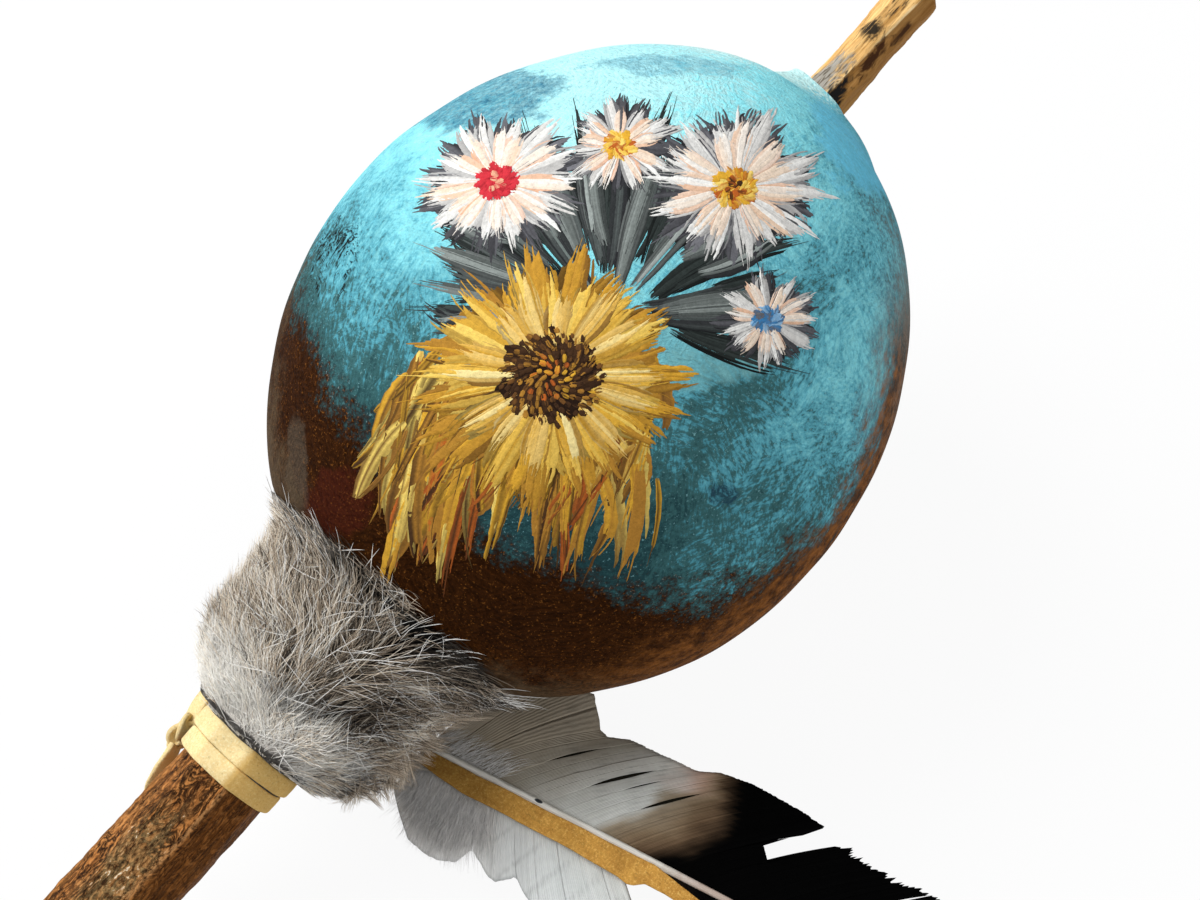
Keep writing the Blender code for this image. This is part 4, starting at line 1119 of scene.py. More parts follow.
def whittled_stick(finish):
    """The stick: an eight-cornered section with softened corners carried from butt to tip and turned slowly
    on the way. Its radius is read off a table of places, each flat is pared unevenly, and a few nicks are cut
    out of the corners."""
    per_facet = 12
    corner = np.arange(STICK_FACETS + 1)
    corner_angle = (corner + 0.5) * 2 * math.pi / STICK_FACETS
    corner_radius = 1 + FACET_UNEVENNESS * np.sin(2.4 * (corner % STICK_FACETS) + 0.6)
    share = np.arange(per_facet) / per_facet
    ends = joined(corner_radius * np.cos(corner_angle), corner_radius * np.sin(corner_angle))
    section = ends[:-1, None] * (1 - share)[None, :, None] + ends[1:, None] * share[None, :, None]
    near_corner = np.minimum(share, 1 - share) * per_facet
    section = section * (1 - 0.016 * bell(near_corner, 0, 1))[None, :, None]
    section = section.reshape(-1, 2)
    facet = np.repeat(np.arange(STICK_FACETS), per_facet)
    middle = np.tile(np.sin(math.pi * share), STICK_FACETS)
    rims = np.array((BUTT, BUTT + 0.3 * MM, BUTT + 1.4 * MM, TIP - 1.4 * MM, TIP - 0.3 * MM))
    place = np.sort(np.concatenate([np.linspace(BUTT, TIP, 420), rims]))
    radius = np.interp(place, STICK_PLACES[::-1], STICK_RADII[::-1])
    angle = np.arctan2(section[:, 1], section[:, 0])
    twist = np.interp(place, TWIST_PLACES, TWIST_ANGLES)
    ring = joined(np.cos(angle) * 20 * MM, np.sin(angle) * 20 * MM, place[:, None])
    pared = wander(joined(place[:, None] / (26 * MM), facet * 2.7), 2.0, 8)
    rough = wander(ring, 9 * MM, 9) * 0.15 + wander(ring, 2.6 * MM, 10, 2) * 0.06
    depth = (pared * 0.24 * middle + rough) * MM
    raw = smooth(place, 80 * MM, 92 * MM)[:, None]
    for spot, turn, reach, cut in ((108, 3.55, 6, 0.9), (97, 3.45, 4, 0.7), (118, 3.6, 5, 0.6),
                                   (101, 2.6, 7, 0.5)):
        nick = near(angle, math.degrees(turn), math.degrees(reach / 6))
        depth = depth - raw * cut * MM * nick * bell(place, spot * MM, reach * MM)[:, None]
    inside = smooth(place, -84 * MM, -80 * MM) * smooth(place, 94 * MM, 88 * MM)
    under_cuff = smooth(place, -134 * MM, -129 * MM) * smooth(place, -82 * MM, -86 * MM)
    depth = np.minimum(depth, 0.25 * MM) * (1 - np.maximum(inside, under_cuff))[:, None]
    ends_share = smooth(place, BUTT, BUTT + 2 * MM) * smooth(place, TIP, TIP - 2 * MM)
    size = radius[:, None] * np.hypot(section[:, 0], section[:, 1]) + depth * ends_share[:, None]
    rings = from_round(angle + twist[:, None], size, place[:, None])
    points, faces = capped_tube(rings + ACROSS * stick_bend(place)[:, None, None])
    return add_piece("whittled_stick", points, faces, finish, "rattle", ["handle_stick"])


# Fur collar and lace


def fur_radius(place):
    """Outer radius of the fur's solid mass at a place along the stick."""
    swell = smooth(place, CUFF_TOP, CUFF_TOP + 24 * MM) ** 0.75
    radius = CUFF_RADIUS + (FUR_RADIUS - CUFF_RADIUS) * swell
    return np.where(place > -GOURD_BASE, np.maximum(radius, gourd_radius(place) + 3 * MM), radius)


def parting(place, angle, width, reach):
    """1 along the slanting parting down the fur's front: a bell across it, and another towards its ends."""
    turn = turn_from(angle, PARTING_ANGLE)
    return bell(place - turn * PARTING_SLOPE, PARTING_PLACE, width) * bell(turn, 0, reach)


def fur_envelope(place, angle):
    """Where the hair's outside lies: two tables of radii along the stick, one for each side, mixed by angle,
    with soft lumps, a slight rise over the feather's foot and the parting's dip."""
    feather_side = 0.5 + 0.5 * np.cos(angle - math.radians(290))
    radius = np.interp(place, FUR_PLACES, FUR_THIN) * (1 - feather_side)
    radius = radius + np.interp(place, FUR_PLACES, FUR_FULL) * feather_side
    spot = joined(np.cos(angle), np.sin(angle), place / (40 * MM))
    grown = smooth(place, FUR_PLACES[0], -110 * MM)
    radius = radius + grown * 1.3 * MM * wander(spot, 0.8, 31, 2)
    radius = radius + 2.4 * MM * near(angle, 322, math.degrees(0.42)) * bell(place, -97 * MM, 13 * MM)
    radius = radius - grown * 3.2 * MM * parting(place, angle, 4.2 * MM, 34)
    return np.maximum(radius, np.where(place > -GOURD_BASE, gourd_radius(place) + 1.6 * MM, 0))


def facet_reach(angle):
    """How far the bound cuff's outside is from the axis, as a share of its corners: it follows the flats."""
    turn = np.mod(angle - BAND_CORNER, 2 * math.pi / STICK_FACETS) - math.pi / STICK_FACETS
    flat = math.cos(math.pi / STICK_FACETS) / np.cos(turn)
    soft = flat - 0.02 * bell(np.abs(turn), math.pi / STICK_FACETS, 0.09)
    return soft * 0.8 + 0.2


def pelt_body(finish):
    """The pelt under the hair: a turned profile, faceted where the lace draws it on to the stick,
    lumpy in the skirt, hollowed to clear the gourd and bored for the stick."""
    columns = 200
    end = CUFF_END + 1.9 * MM
    angle = round_angles(columns)
    place = np.linspace(end, FUR_TOP, 110)
    cover = smooth(place, CUFF_TOP, CUFF_TOP + 6 * MM)[:, None]
    outside = fur_envelope(place[:, None], angle)
    spot = from_round(angle, outside, place[:, None])
    outside = outside + cover * (wander(spot, 7 * MM, 33) * 0.9 - 2.4) * MM
    cuff = np.maximum(BAND_RADIUS * facet_reach(angle) - 0.3 * MM, PELT_BORE + 0.25 * MM)
    rolled = 1.9 * MM * bell(place, CUFF_TOP - 0.2 * MM, 1.3 * MM)[:, None]
    outside = np.where(cover > 0, np.maximum(outside, cuff), cuff)
    outside = np.maximum(outside, cuff + rolled)
    clear = np.where(place[:, None] > -GOURD_BASE, gourd_radius(place[:, None]) + 1.4 * MM, 0)
    outside = np.maximum(outside, clear)
    under_place = np.linspace(FUR_TOP - 1.2 * MM, -GOURD_BASE * 0.985, 16)
    under = np.repeat((gourd_radius(under_place) + 2 * GAP)[:, None], columns, 1)
    inner = np.full((2, columns), PELT_BORE)
    radius = np.concatenate([outside, under, inner])
    places = np.concatenate([place, under_place - 2 * GAP, (-GOURD_BASE - 2 * GAP, end)])
    points = from_round(angle, radius, places[:, None])
    points = points + ACROSS * (stick_bend(places) * smooth(places, -112 * MM, -118 * MM))[:, None, None]
    tone = np.clip(fur_tone(*np.broadcast_arrays(places[:, None], angle)), 0.1, 1.2)
    # Below the underfur's end the pelt is dark: the hide's rolled edge, painted darker as shade where it
    # meets the lace.
    tone = np.where(places[:, None] > UNDERFUR_END, np.minimum(tone ** 2 * 0.85, 0.95), 0.15)
    faces = [grid_faces(len(places), columns, round_rows=True, round_columns=True)]
    return add_piece("fur_pelt", points, faces, finish, "rattle", ["fur_collar"],
                     colours=np.repeat(tone[..., None], 3, -1))


def lying_hair(rng, place, angle, lean, length, offset, depth, lift, curl, steps, gather, wave, border):
    """Paths of hairs on the fur's outside: each starts under the surface at its place and angle and runs its
    length in the direction of its lean, measured from the stick's axis, drawn in to its tuft's tip. Near its
    border on the gourd a hair bends aside, and in the same way at the lace."""
    share = np.linspace(0, 1, steps)[None]
    turn = lean[:, None] + curl[:, None] * share
    step = length[:, None] / (steps - 1)
    ahead = np.cumsum(np.cos(turn), 1) * step - np.cos(turn[:, :1]) * step
    aside = np.cumsum(np.sin(turn), 1) * step - np.sin(turn[:, :1]) * step
    close = 1 - gather * share ** 1.1
    ripple = wave[:, None] * np.sin(share * 9 + rng.uniform(0, 6.3, (len(place), 1))) * share
    along = place[:, None] + ahead + offset[:, :1] * close - ripple * np.sin(turn)
    along = -held_above(-along, -border[:, None], BORDER_TURN)
    along = held_above(along, HAIR_END, HAIR_TURN)
    base = fur_envelope(along, angle[:, None])
    around = angle[:, None] + (aside + offset[:, 1:] * close + ripple * np.cos(turn)) / base
    radius = fur_envelope(along, around) - depth[:, None] * (1 - share) ** 1.4 + lift[:, None] * share ** 2
    clear = np.where(along > -GOURD_BASE, gourd_radius(along) + 0.7 * MM, CUFF_RADIUS * 0.98)
    return from_round(around, np.maximum(radius, clear), along)


def hair_piece(name, paths, radius, colours, finish):
    """Hairs along paths as thin blades that face outwards and taper to the tip."""
    sides, ups = path_frames(paths, out_from_stick(paths))
    wide = radius[:, None] * (1 - 0.75 * np.linspace(0, 1, paths.shape[1]) ** 1.5)
    points, faces, uv = blades(paths, sides, ups, wide, wide * 1.1)
    return add_piece(name, points, faces, finish, "rattle", colours=blade_colours(colours), uv=uv)


def hair_colours(shade, share):
    """Hairs from slate through taupe to cream by their shade, each a little darker at its root: painted shade
    deep in the fur, less on pale hair.
    """
    colours = ramp(np.clip(shade, 0, 1.15), (0, 0.25, 0.55, 0.8, 1.15),
                   ((0.050, 0.043, 0.036), (0.27, 0.212, 0.156), (0.73, 0.595, 0.45), (0.97, 0.87, 0.72),
                    (0.98, 0.96, 0.90)))
    # Painted shade at the roots, weaker on pale hair.
    root = 0.60 + 0.32 * smooth(shade, 0.65, 1.1)[:, None, None]
    return colours[:, None] * (root + (1 - root) * share[None, :, None] ** 0.7)


def flow(place, angle):
    """Which way the hair lies, from the stick's axis: combed away to both sides of a line down the front,
    more strongly on the feather's side, and swirled by clumps."""
    spot = joined(np.cos(angle), np.sin(angle), place / (30 * MM))
    comb = np.interp(np.degrees(angle), (0, 20, 60, 120, 165, 198, 222, 258, 290, 330),
                     (25, 0, -20, -36, -42, -4, 26, 78, 86, 60), period=360)
    return np.radians(comb) + 0.34 * wander(spot, 0.9, 41, 2)


def fur_tone(place, angle):
    """How pale the hair is, 0 to 1: pale by the band and on the thin side, and darker in the parting's cleft
    and where the gourd shades it, both painted shade."""
    spot = joined(np.cos(angle), np.sin(angle), place / (25 * MM))
    tone = 0.495 + 0.36 * wander(spot, 0.62, 42, 3)
    tone = tone + 1.05 * near(angle, 178, 46) * smooth(place, -102 * MM, -114 * MM)
    tone = tone + 0.16 * near(angle, 112, 42)
    # Painted shade: darker in the parting's cleft and, below, under the gourd's edge.
    tone = tone - 0.62 * parting(place, angle, 5.0 * MM, 38)
    tone = tone - 0.66 * near(angle, 220, 52) * smooth(place, -90 * MM, -76 * MM)
    tone = tone - 0.50 * near(angle, 282, 34) * smooth(place, -90 * MM, -80 * MM)
    tone = tone - 0.10 * near(angle, 255, 40) * smooth(place, -108 * MM, -116 * MM)
    return tone


def border_dip(angle):
    """How far the fur's border on the gourd dips towards the grip, on the side away from the feather."""
    return BORDER_DIP * near(angle, 120, 45)


def fur_hair(finish):
    """Rabbit fur: tufts of wavy lying hair, soft fluff by the band, tufts that hang at the lower edge and
    straight white guard hairs."""
    rng = np.random.default_rng(12)
    tufts, each, steps = 1440, 20, 6
    place = rng.uniform(-117, -74, tufts) * MM
    angle = rng.uniform(0, 2 * math.pi, tufts)
    lean = flow(place, angle) + rng.normal(0, 0.24, tufts)
    length = rng.uniform(11, 21, tufts) * MM * (0.55 + 0.45 * smooth(place, -117 * MM, -104 * MM))
    length = length * (1 - 0.4 * near(angle, 290, 32) * smooth(place, -90 * MM, -80 * MM))
    lift = rng.normal(0.6, 1.4, tufts) * MM
    tone = fur_tone(place, angle) + 0.20 * rng.normal(size=tufts)
    border = FUR_BORDER - border_dip(angle)

    def spread(values):
        return np.repeat(values, each)

    count = tufts * each
    offset = rng.normal(size=(count, 2)) * 1.8 * MM
    curl = spread(rng.normal(0, 0.42, tufts)) + rng.normal(0, 0.26, count)
    paths = lying_hair(rng, spread(place), spread(angle), spread(lean) + rng.normal(0, 0.15, count),
                       spread(length) * rng.uniform(0.6, 1.12, count), offset,
                       rng.uniform(1.5, 4.5, count) * MM, spread(lift) + rng.normal(0, 0.6, count) * MM, curl,
                       steps, 0.62, rng.uniform(0.1, 0.55, count) * MM, rng.normal(spread(border), 1.1 * MM))
    share = np.linspace(0, 1, steps)
    colours = hair_colours(spread(tone) + rng.normal(0, 0.31, count), share)
    radius = rng.uniform(0.06, 0.13, count) * MM
    part = count // 5
    for index in range(5):
        rows = slice(index * part, (index + 1) * part)
        hair_piece(f"fur_hair_{index + 1}", paths[rows], radius[rows], colours[rows], finish)

    fluff = 6600
    place = rng.uniform(-117.6, -105, fluff) * MM
    angle = rng.uniform(0, 2 * math.pi, fluff)
    paths = lying_hair(rng, place, angle, flow(place, angle) * 0.6 + rng.normal(0, 0.45, fluff),
                       rng.uniform(4, 9, fluff) * MM, rng.normal(size=(fluff, 2)) * 0.5 * MM,
                       rng.uniform(0.3, 1.8, fluff) * MM, rng.normal(0.4, 0.6, fluff) * MM,
                       rng.normal(0, 0.6, fluff), 5, 0.0, rng.uniform(0, 0.3, fluff) * MM,
                       np.full(fluff, FUR_BORDER))
    tone = np.clip(fur_tone(place, angle) + 0.14 + rng.normal(0, 0.14, fluff), 0.15, 1.05)[:, None, None]
    # Each fluff hair is painted darker at its root: painted shade.
    colours = np.array((0.96, 0.93, 0.87)) * tone * (0.82 + 0.18 * np.linspace(0, 1, 5))[None, :, None]
    hair_piece("fur_fluff", paths, rng.uniform(0.05, 0.085, fluff) * MM, colours, finish)

    wisps, each = 110, 14
    count = wisps * each
    place = rng.uniform(-110, -90, wisps) * MM
    angle = np.radians(rng.uniform(258, 302, wisps))
    paths = lying_hair(rng, spread(place), spread(angle), spread(rng.normal(1.5, 0.55, wisps)),
                       spread(rng.uniform(7, 15, wisps)) * rng.uniform(0.8, 1.1, count) * MM,
                       rng.normal(size=(count, 2)) * 1.1 * MM, rng.uniform(0.5, 2, count) * MM,
                       spread(rng.uniform(2.5, 8.0, wisps)) * MM, spread(rng.normal(0, 0.7, wisps)), 6, 0.85,
                       rng.uniform(0.1, 0.4, count) * MM, np.full(count, FUR_BORDER))
    colours = hair_colours(rng.uniform(0.1, 0.75, count), share)
    hair_piece("fur_wisps", paths, rng.uniform(0.06, 0.10, count) * MM, colours, finish)

    guard = 900
    at_border = np.arange(guard) < 190
    place = np.where(at_border, rng.uniform(-80, -72, guard), rng.uniform(-115, -76, guard)) * MM
    angle = rng.uniform(0, 2 * math.pi, guard)
    lean = flow(place, angle) * np.where(at_border, 0.5, 1) + rng.normal(0, 0.9, guard)
    length = rng.uniform(6, 14, guard) * np.where(at_border, 0.75, 1) * MM
    paths = lying_hair(rng, place, angle, lean, length, np.zeros((guard, 2)),
                       rng.uniform(0.0, 0.8, guard) * MM, rng.uniform(0.6, 3.6, guard) * MM,
                       rng.normal(0, 0.25, guard), 5, 0.0, np.zeros(guard),
                       np.where(at_border, rng.uniform(-72, -60, guard), -69) * MM - border_dip(angle))
    colours = np.array((0.98, 0.96, 0.92)) * rng.uniform(0.88, 1.0, (guard, 1, 1)) * np.ones((1, 5, 1))
    thick = np.where(at_border, rng.uniform(0.09, 0.15, guard), rng.uniform(0.07, 0.13, guard)) * MM
    hair_piece("fur_guard_hair", paths, thick, colours, finish)


def lace_path(turns):
    """The lace's middle line: level turns that follow the stick's flats, with one quick climb between them,
    the second a little wider than the first."""
    angle = KNOT_ANGLE + 2 * math.pi * (turns + 0.1)
    climb = smooth(turns, 0.80, 0.95)
    place = LACE_FIRST + LACE_PITCH * climb
    radius = (BAND_RADIUS + 0.8 * MM * climb) * facet_reach(angle)
    return angle, radius, place


def suede_colours(rings, low=0.86, seed=51):
    """Slow changes of tone along a piece of suede, as a grey at each point."""
    tone = 1 - (1 - low) * (0.5 + 0.9 * wander(rings, 11 * MM, seed))
    return np.repeat(np.clip(tone, 0.6, 1.08)[..., None], 3, -1)


def suede_strip(name, rings, tone, finish, body, node):
    """A piece of suede from its rings of points and the tone at each; its end caps take the rings' tone."""
    points, faces = capped_tube(rings)
    colours = np.concatenate([tone.reshape(-1, 3), tone[0, :1], tone[-1, :1]])
    return add_piece(name, points, faces, finish, body, [node], colours=colours)


def lace_binding(finish):
    """Two turns of suede lace round the cuff, one strip with soft edges. The turns touch in front and draw
    apart towards the right, and the flats that face away from the light are painted darker, as painted shade."""
    turns = np.linspace(0, LACE_TURNS, 420)
    angle, radius, place = lace_path(turns)
    path = from_round(angle, radius, place)
    out = unit(from_round(angle, radius + MM, place) - path)
    side = np.cross(out, unit(np.gradient(path, axis=0)))
    ends = np.minimum(turns, LACE_TURNS - turns) * 2 * math.pi * radius
    degrees = np.mod(np.degrees(angle), 360)
    slit = np.interp(degrees, (0, 120, 135, 185, 195, 212, 220, 250, 285, 330, 360),
                     (0.5, 0.2, 0.14, 0.12, 0.0, 0.0, 0.26, 0.5, 0.55, 0.5, 0.5)) * MM
    width = (LACE_PITCH + 0.08 * MM - slit) * (0.93 + 0.07 * smooth(ends, 0, 3 * MM))
    width = width * (1 + 0.008 * wander(path, 6 * MM, 52))
    across, above = strip_profile(24, width, LACE_THICKNESS * 0.92)
    rings = carried(path + ACROSS * stick_bend(place)[:, None], -side, out, across, above)
    rings = rings + out[:, None] * (wander(rings, 4 * MM, 53) * 0.07 * MM)[..., None]
    corner = math.degrees(BAND_CORNER)
    # Painted shade: the flats right of the band's corner are darker.
    painted_shade = smooth(degrees, corner - 9, corner - 1) * smooth(degrees, 330, 300)
    tone = suede_colours(rings, 0.92) * (1.07 - painted_shade[:, None, None] * np.array((0.30, 0.44, 0.66)))
    return suede_strip("lace_turns", rings, tone, finish, "rattle", "lace_binding")


def lace_knot(finish):
    """The overhand knot: a flat strip carried round a trefoil, x = sin t + 2 sin 2t, z = cos t - 2 cos 2t,
    with its depth going as sin 3t, and two straps from it to where the loose ends leave it."""
    rows, columns = 160, 16
    turn = round_angles(rows)
    out = np.array((math.cos(KNOT_ANGLE), math.sin(KNOT_ANGLE), 0))
    round_stick = np.array((-math.sin(KNOT_ANGLE), math.cos(KNOT_ANGLE), 0))
    across = KNOT_SIZE * (np.sin(turn) + 2 * np.sin(2 * turn))
    above = KNOT_SIZE * (np.cos(turn) - 2 * np.cos(2 * turn))
    centre = out * KNOT_REACH + np.array((0, 0, KNOT_PLACE))
    local = (centre + across[:, None] * round_stick + above[:, None] * np.array((0, 0, 1.0))
             - (KNOT_DEPTH * np.sin(3 * turn))[:, None] * out)
    path = from_stick(local)
    along = unit(np.roll(path, -1, 0) - np.roll(path, 1, 0))
    facing = unit(out[0] * DOWN + out[1] * ACROSS)
    strap_facing = math.cos(STRAP_ANGLE) * DOWN + math.sin(STRAP_ANGLE) * ACROSS
    side = unit(np.cross(facing, along))
    up = np.cross(along, side)
    wide, tall = strip_profile(columns, KNOT_WIDTH, KNOT_THICKNESS)
    points = [carried(path, side, up, wide, tall).reshape(-1, 3)]
    faces = [grid_faces(rows, columns, round_rows=True, round_columns=True)]
    wide, tall = strip_profile(columns, STRAP_WIDTH, STRAP_THICKNESS)
    for exit_point, reach in ((LOWER_TAIL[0], -1.5 * MM), (UPPER_TAIL[0], 1.5 * MM)):
        start = centre + np.array((0, 0, reach))
        bulge = (start + exit_point) / 2 + out * 0.7 * MM
        strap = from_stick(smooth_line(np.stack([start, bulge, exit_point]), 24))
        side, up = path_frames(strap, strap_facing)
        part, part_faces = capped_tube(carried(strap, side, up, wide, tall))
        faces += [face + sum(map(len, points)) for face in part_faces]
        points.append(part)
    points = np.concatenate(points)
    return add_piece("lace_overhand", points, faces, finish, "rattle", ["lace_knot"],
                     colours=suede_colours(points))


def lace_tail(name, route, node, finish):
    """A loose lace end: the flat strip carried along its route, twisting gently, with a slanted cut end."""
    count = 60
    path = from_stick(smooth_line(route, count))
    share = np.linspace(0, 1, count)
    side, up = path_frames(path, out_from_stick(path))
    twist = 0.5 * np.sin(share * 3.5)[:, None]
    side, up = np.cos(twist) * side + np.sin(twist) * up, np.cos(twist) * up - np.sin(twist) * side
    across, above = strip_profile(20, LACE_WIDTH, LACE_THICKNESS * 0.85)
    rings = carried(path, side, up, across, above)
    slant = unit(path[-1] - path[-2]) * across[:, None] * 0.55
    rings = rings + slant[None] * smooth(share, 0.9, 1.0)[:, None, None]
    rings = rings + up[:, None] * (wander(rings, 5 * MM, 57) * 0.12 * MM)[..., None]
    piece = suede_strip(name, rings, suede_colours(rings), finish, "rattle", node)
    return piece


def thong_tie(finish):
    """The thong's tied end: a strip from under the lace along the fur's underside to the feather."""
    count = 40
    angle = math.atan2(-FEATHER_ACROSS, FEATHER_DOWN)
    place = np.linspace(CUFF_TOP + 0.2 * MM, FEATHER_PLACE - 0.9 * MM, count)
    radius = fur_radius(place) + GAP * 2 + LACE_THICKNESS / 2
    path = from_round(np.full(count, angle), radius, place)
    along = unit(np.gradient(path, axis=0))
    round_stick = -math.sin(angle) * DOWN + math.cos(angle) * ACROSS
    side = np.broadcast_to(-round_stick, (count, 3))
    up = np.cross(along, side)
    across, above = strip_profile(18, LACE_WIDTH, LACE_THICKNESS)
    rings = carried(path, side, up, across, above)
    tone = suede_colours(rings)
    return suede_strip("thong_strip", rings, tone, finish, "rattle", "thong_tie")


# Feather


def shaft_height(along):
    """The shaft's rise over the feather's straight line: a gentle bow, nil at both ends."""
    share = along / FEATHER_LENGTH
    return FEATHER_BOW * 4 * share * (1 - share)


def feather_shaft(finish):
    """The shaft: a round section, a little flattened, that tapers along the bow."""
    share = np.linspace(0.004, 1, 90)
    along = share * FEATHER_LENGTH
    radius = SHAFT_SHOWN * (1 - 0.8 * share ** 1.3)
    turn = round_angles(24)
    rings = joined(along[:, None], SHAFT_OFFSET + radius[:, None] * np.cos(turn),
                   shaft_height(along)[:, None] + 1.15 * radius[:, None] * np.sin(turn))
    points, faces = capped_tube(from_feather(rings))
    return add_piece("feather_quill", points, faces, finish, "feather", ["feather_shaft"])


def barb_lengths(side, root):
    """How far a barb reaches across from the shaft, by where it is rooted, in metres. On the outer side the
    barbs beside the thong's end are cut short."""
    if side > 0:
        places = (2, 3, 7, 10, 11.5, 13, 15.3, 18.6, 27.7, 36.3, 39, 42, 46.2, 52.6, 61.3, 65.9, 67.8, 68,
                  74.4, 74.6, 76.7, 80.9, 88.6, 94.3, 95.2, 102.8, 120, 138, 150, 158)
        reach = (22, 24, 29, 30, 26.7, 22.8, 22, 23.8, 23.7, 24.1, 26.2, 26.7, 27.1, 26.9, 26.6, 25.7, 25.8,
                 15.2, 11.9, 22.5, 23.7, 22.4, 22.3, 21.4, 22.9, 22.8, 21, 16, 9, 3)
    else:
        places = (2, 4, 7, 10, 13, 17, 19, 19.3, 22.5, 24, 26.5, 26.9, 28.5, 30.5, 36, 42, 48, 53.4, 53.5,
                  76.9, 77, 90, 110, 126, 140, 151, 158)
        reach = (11.1, 16.5, 21, 22.3, 22.2, 20.7, 16.9, 16.4, 20.2, 20.5, 17.5, 17.5, 19.7, 21.4, 24.5, 26.5,
                 27, 26, 2.6, 3.4, 24, 26, 25, 22, 16, 9, 3)
    return np.interp(root / MM, places, reach) * MM


def barb_sweep(side, root):
    """How far a barb runs forward, as a share of its reach across, by where it is rooted."""
    if side > 0:
        places, sweep = (2, 3, 7, 10, 11.5, 13, 15.3, 105), (0.45, 0.49, 0.57, 0.74, 0.865, 1.08, 1.12, 1.12)
    else:
        places = (2, 4, 7, 10, 17, 19, 21, 24, 26.5, 30.5, 36, 44, 53, 77)
        sweep = (-0.24, 0, 0.09, 0.19, 0.22, 0.26, 0.33, 0.395, 0.525, 0.56, 0.72, 0.95, 1.1, 0.95)
    return np.interp(root / MM, places, sweep) + smooth(root, 105 * MM, 158 * MM)


def barb_colours(side, root, across):
    """A barb's colours: grey near the fur, pale, then brown and black towards the tip; the borders between
    them bend back towards the vane's outer edge. The inner vane has a warm patch before the brown."""
    root, across = root / MM, across / MM
    if side < 0:
        stops = (2, 8, 14, 20, 23, 26, 30, 36, 42, 53.2, 53.6, 58, 76, 170)
        colours = ((0.72, 0.69, 0.645), (0.90, 0.88, 0.845), (0.92, 0.905, 0.88), (0.80, 0.795, 0.77),
                   (0.66, 0.665, 0.645), (0.68, 0.695, 0.68), (0.72, 0.74, 0.725), (0.75, 0.78, 0.765),
                   (0.77, 0.80, 0.78), (0.75, 0.77, 0.74), (0.14, 0.11, 0.075), (0.03, 0.022, 0.016),
                   (0.0016, 0.0016, 0.0016), (0.0008, 0.0008, 0.0008))
        return ramp(root, stops, colours)
    grey = ramp(root + 0.2 * across, (0, 12, 20, 26, 32, 40, 46),
                ((0.40, 0.345, 0.27), (0.34, 0.285, 0.21), (0.36, 0.315, 0.245), (0.43, 0.395, 0.325),
                 (0.53, 0.51, 0.455), (0.70, 0.705, 0.655), (0.75, 0.76, 0.715)))
    zone = root + 0.036 * across ** 2 + 0.4 + 5 * bell(across, 0, 6.5)
    outer_edge = smooth(across, 15.5, 21.5) * (1 - smooth(zone, 63, 67))
    zone = zone - 7 * outer_edge
    brown = ramp(zone, (52, 56, 60, 64, 67, 69.5, 71.5),
                 ((0.42, 0.35, 0.255), (0.33, 0.255, 0.17), (0.25, 0.175, 0.105), (0.155, 0.098, 0.056),
                  (0.055, 0.034, 0.020), (0.003, 0.0025, 0.002), (0.0008, 0.0008, 0.0008)))
    colour = grey + smooth(zone, 49.5, 54)[..., None] * (brown - grey)
    warm = outer_edge * bell(zone, 51, 5)
    return colour + 0.7 * warm[..., None] * (np.array((0.68, 0.40, 0.28)) - colour)


def barb_line(reach, sweep, share):
    """How far a barb runs across and forward at a share t of its length: reach * (1.06 t - 0.06 t^2) and
    sweep * reach * (0.8 t + 0.2 t^2)."""
    return reach * (1.06 * share - 0.06 * share ** 2), sweep * reach * (0.8 * share + 0.2 * share ** 2)


def barb_height(root, across):
    """A barb's height: that of the shaft at its root, and a rise with the square of its reach across."""
    return shaft_height(root) + BARB_RISE * (across / BARB_REACH) ** 2


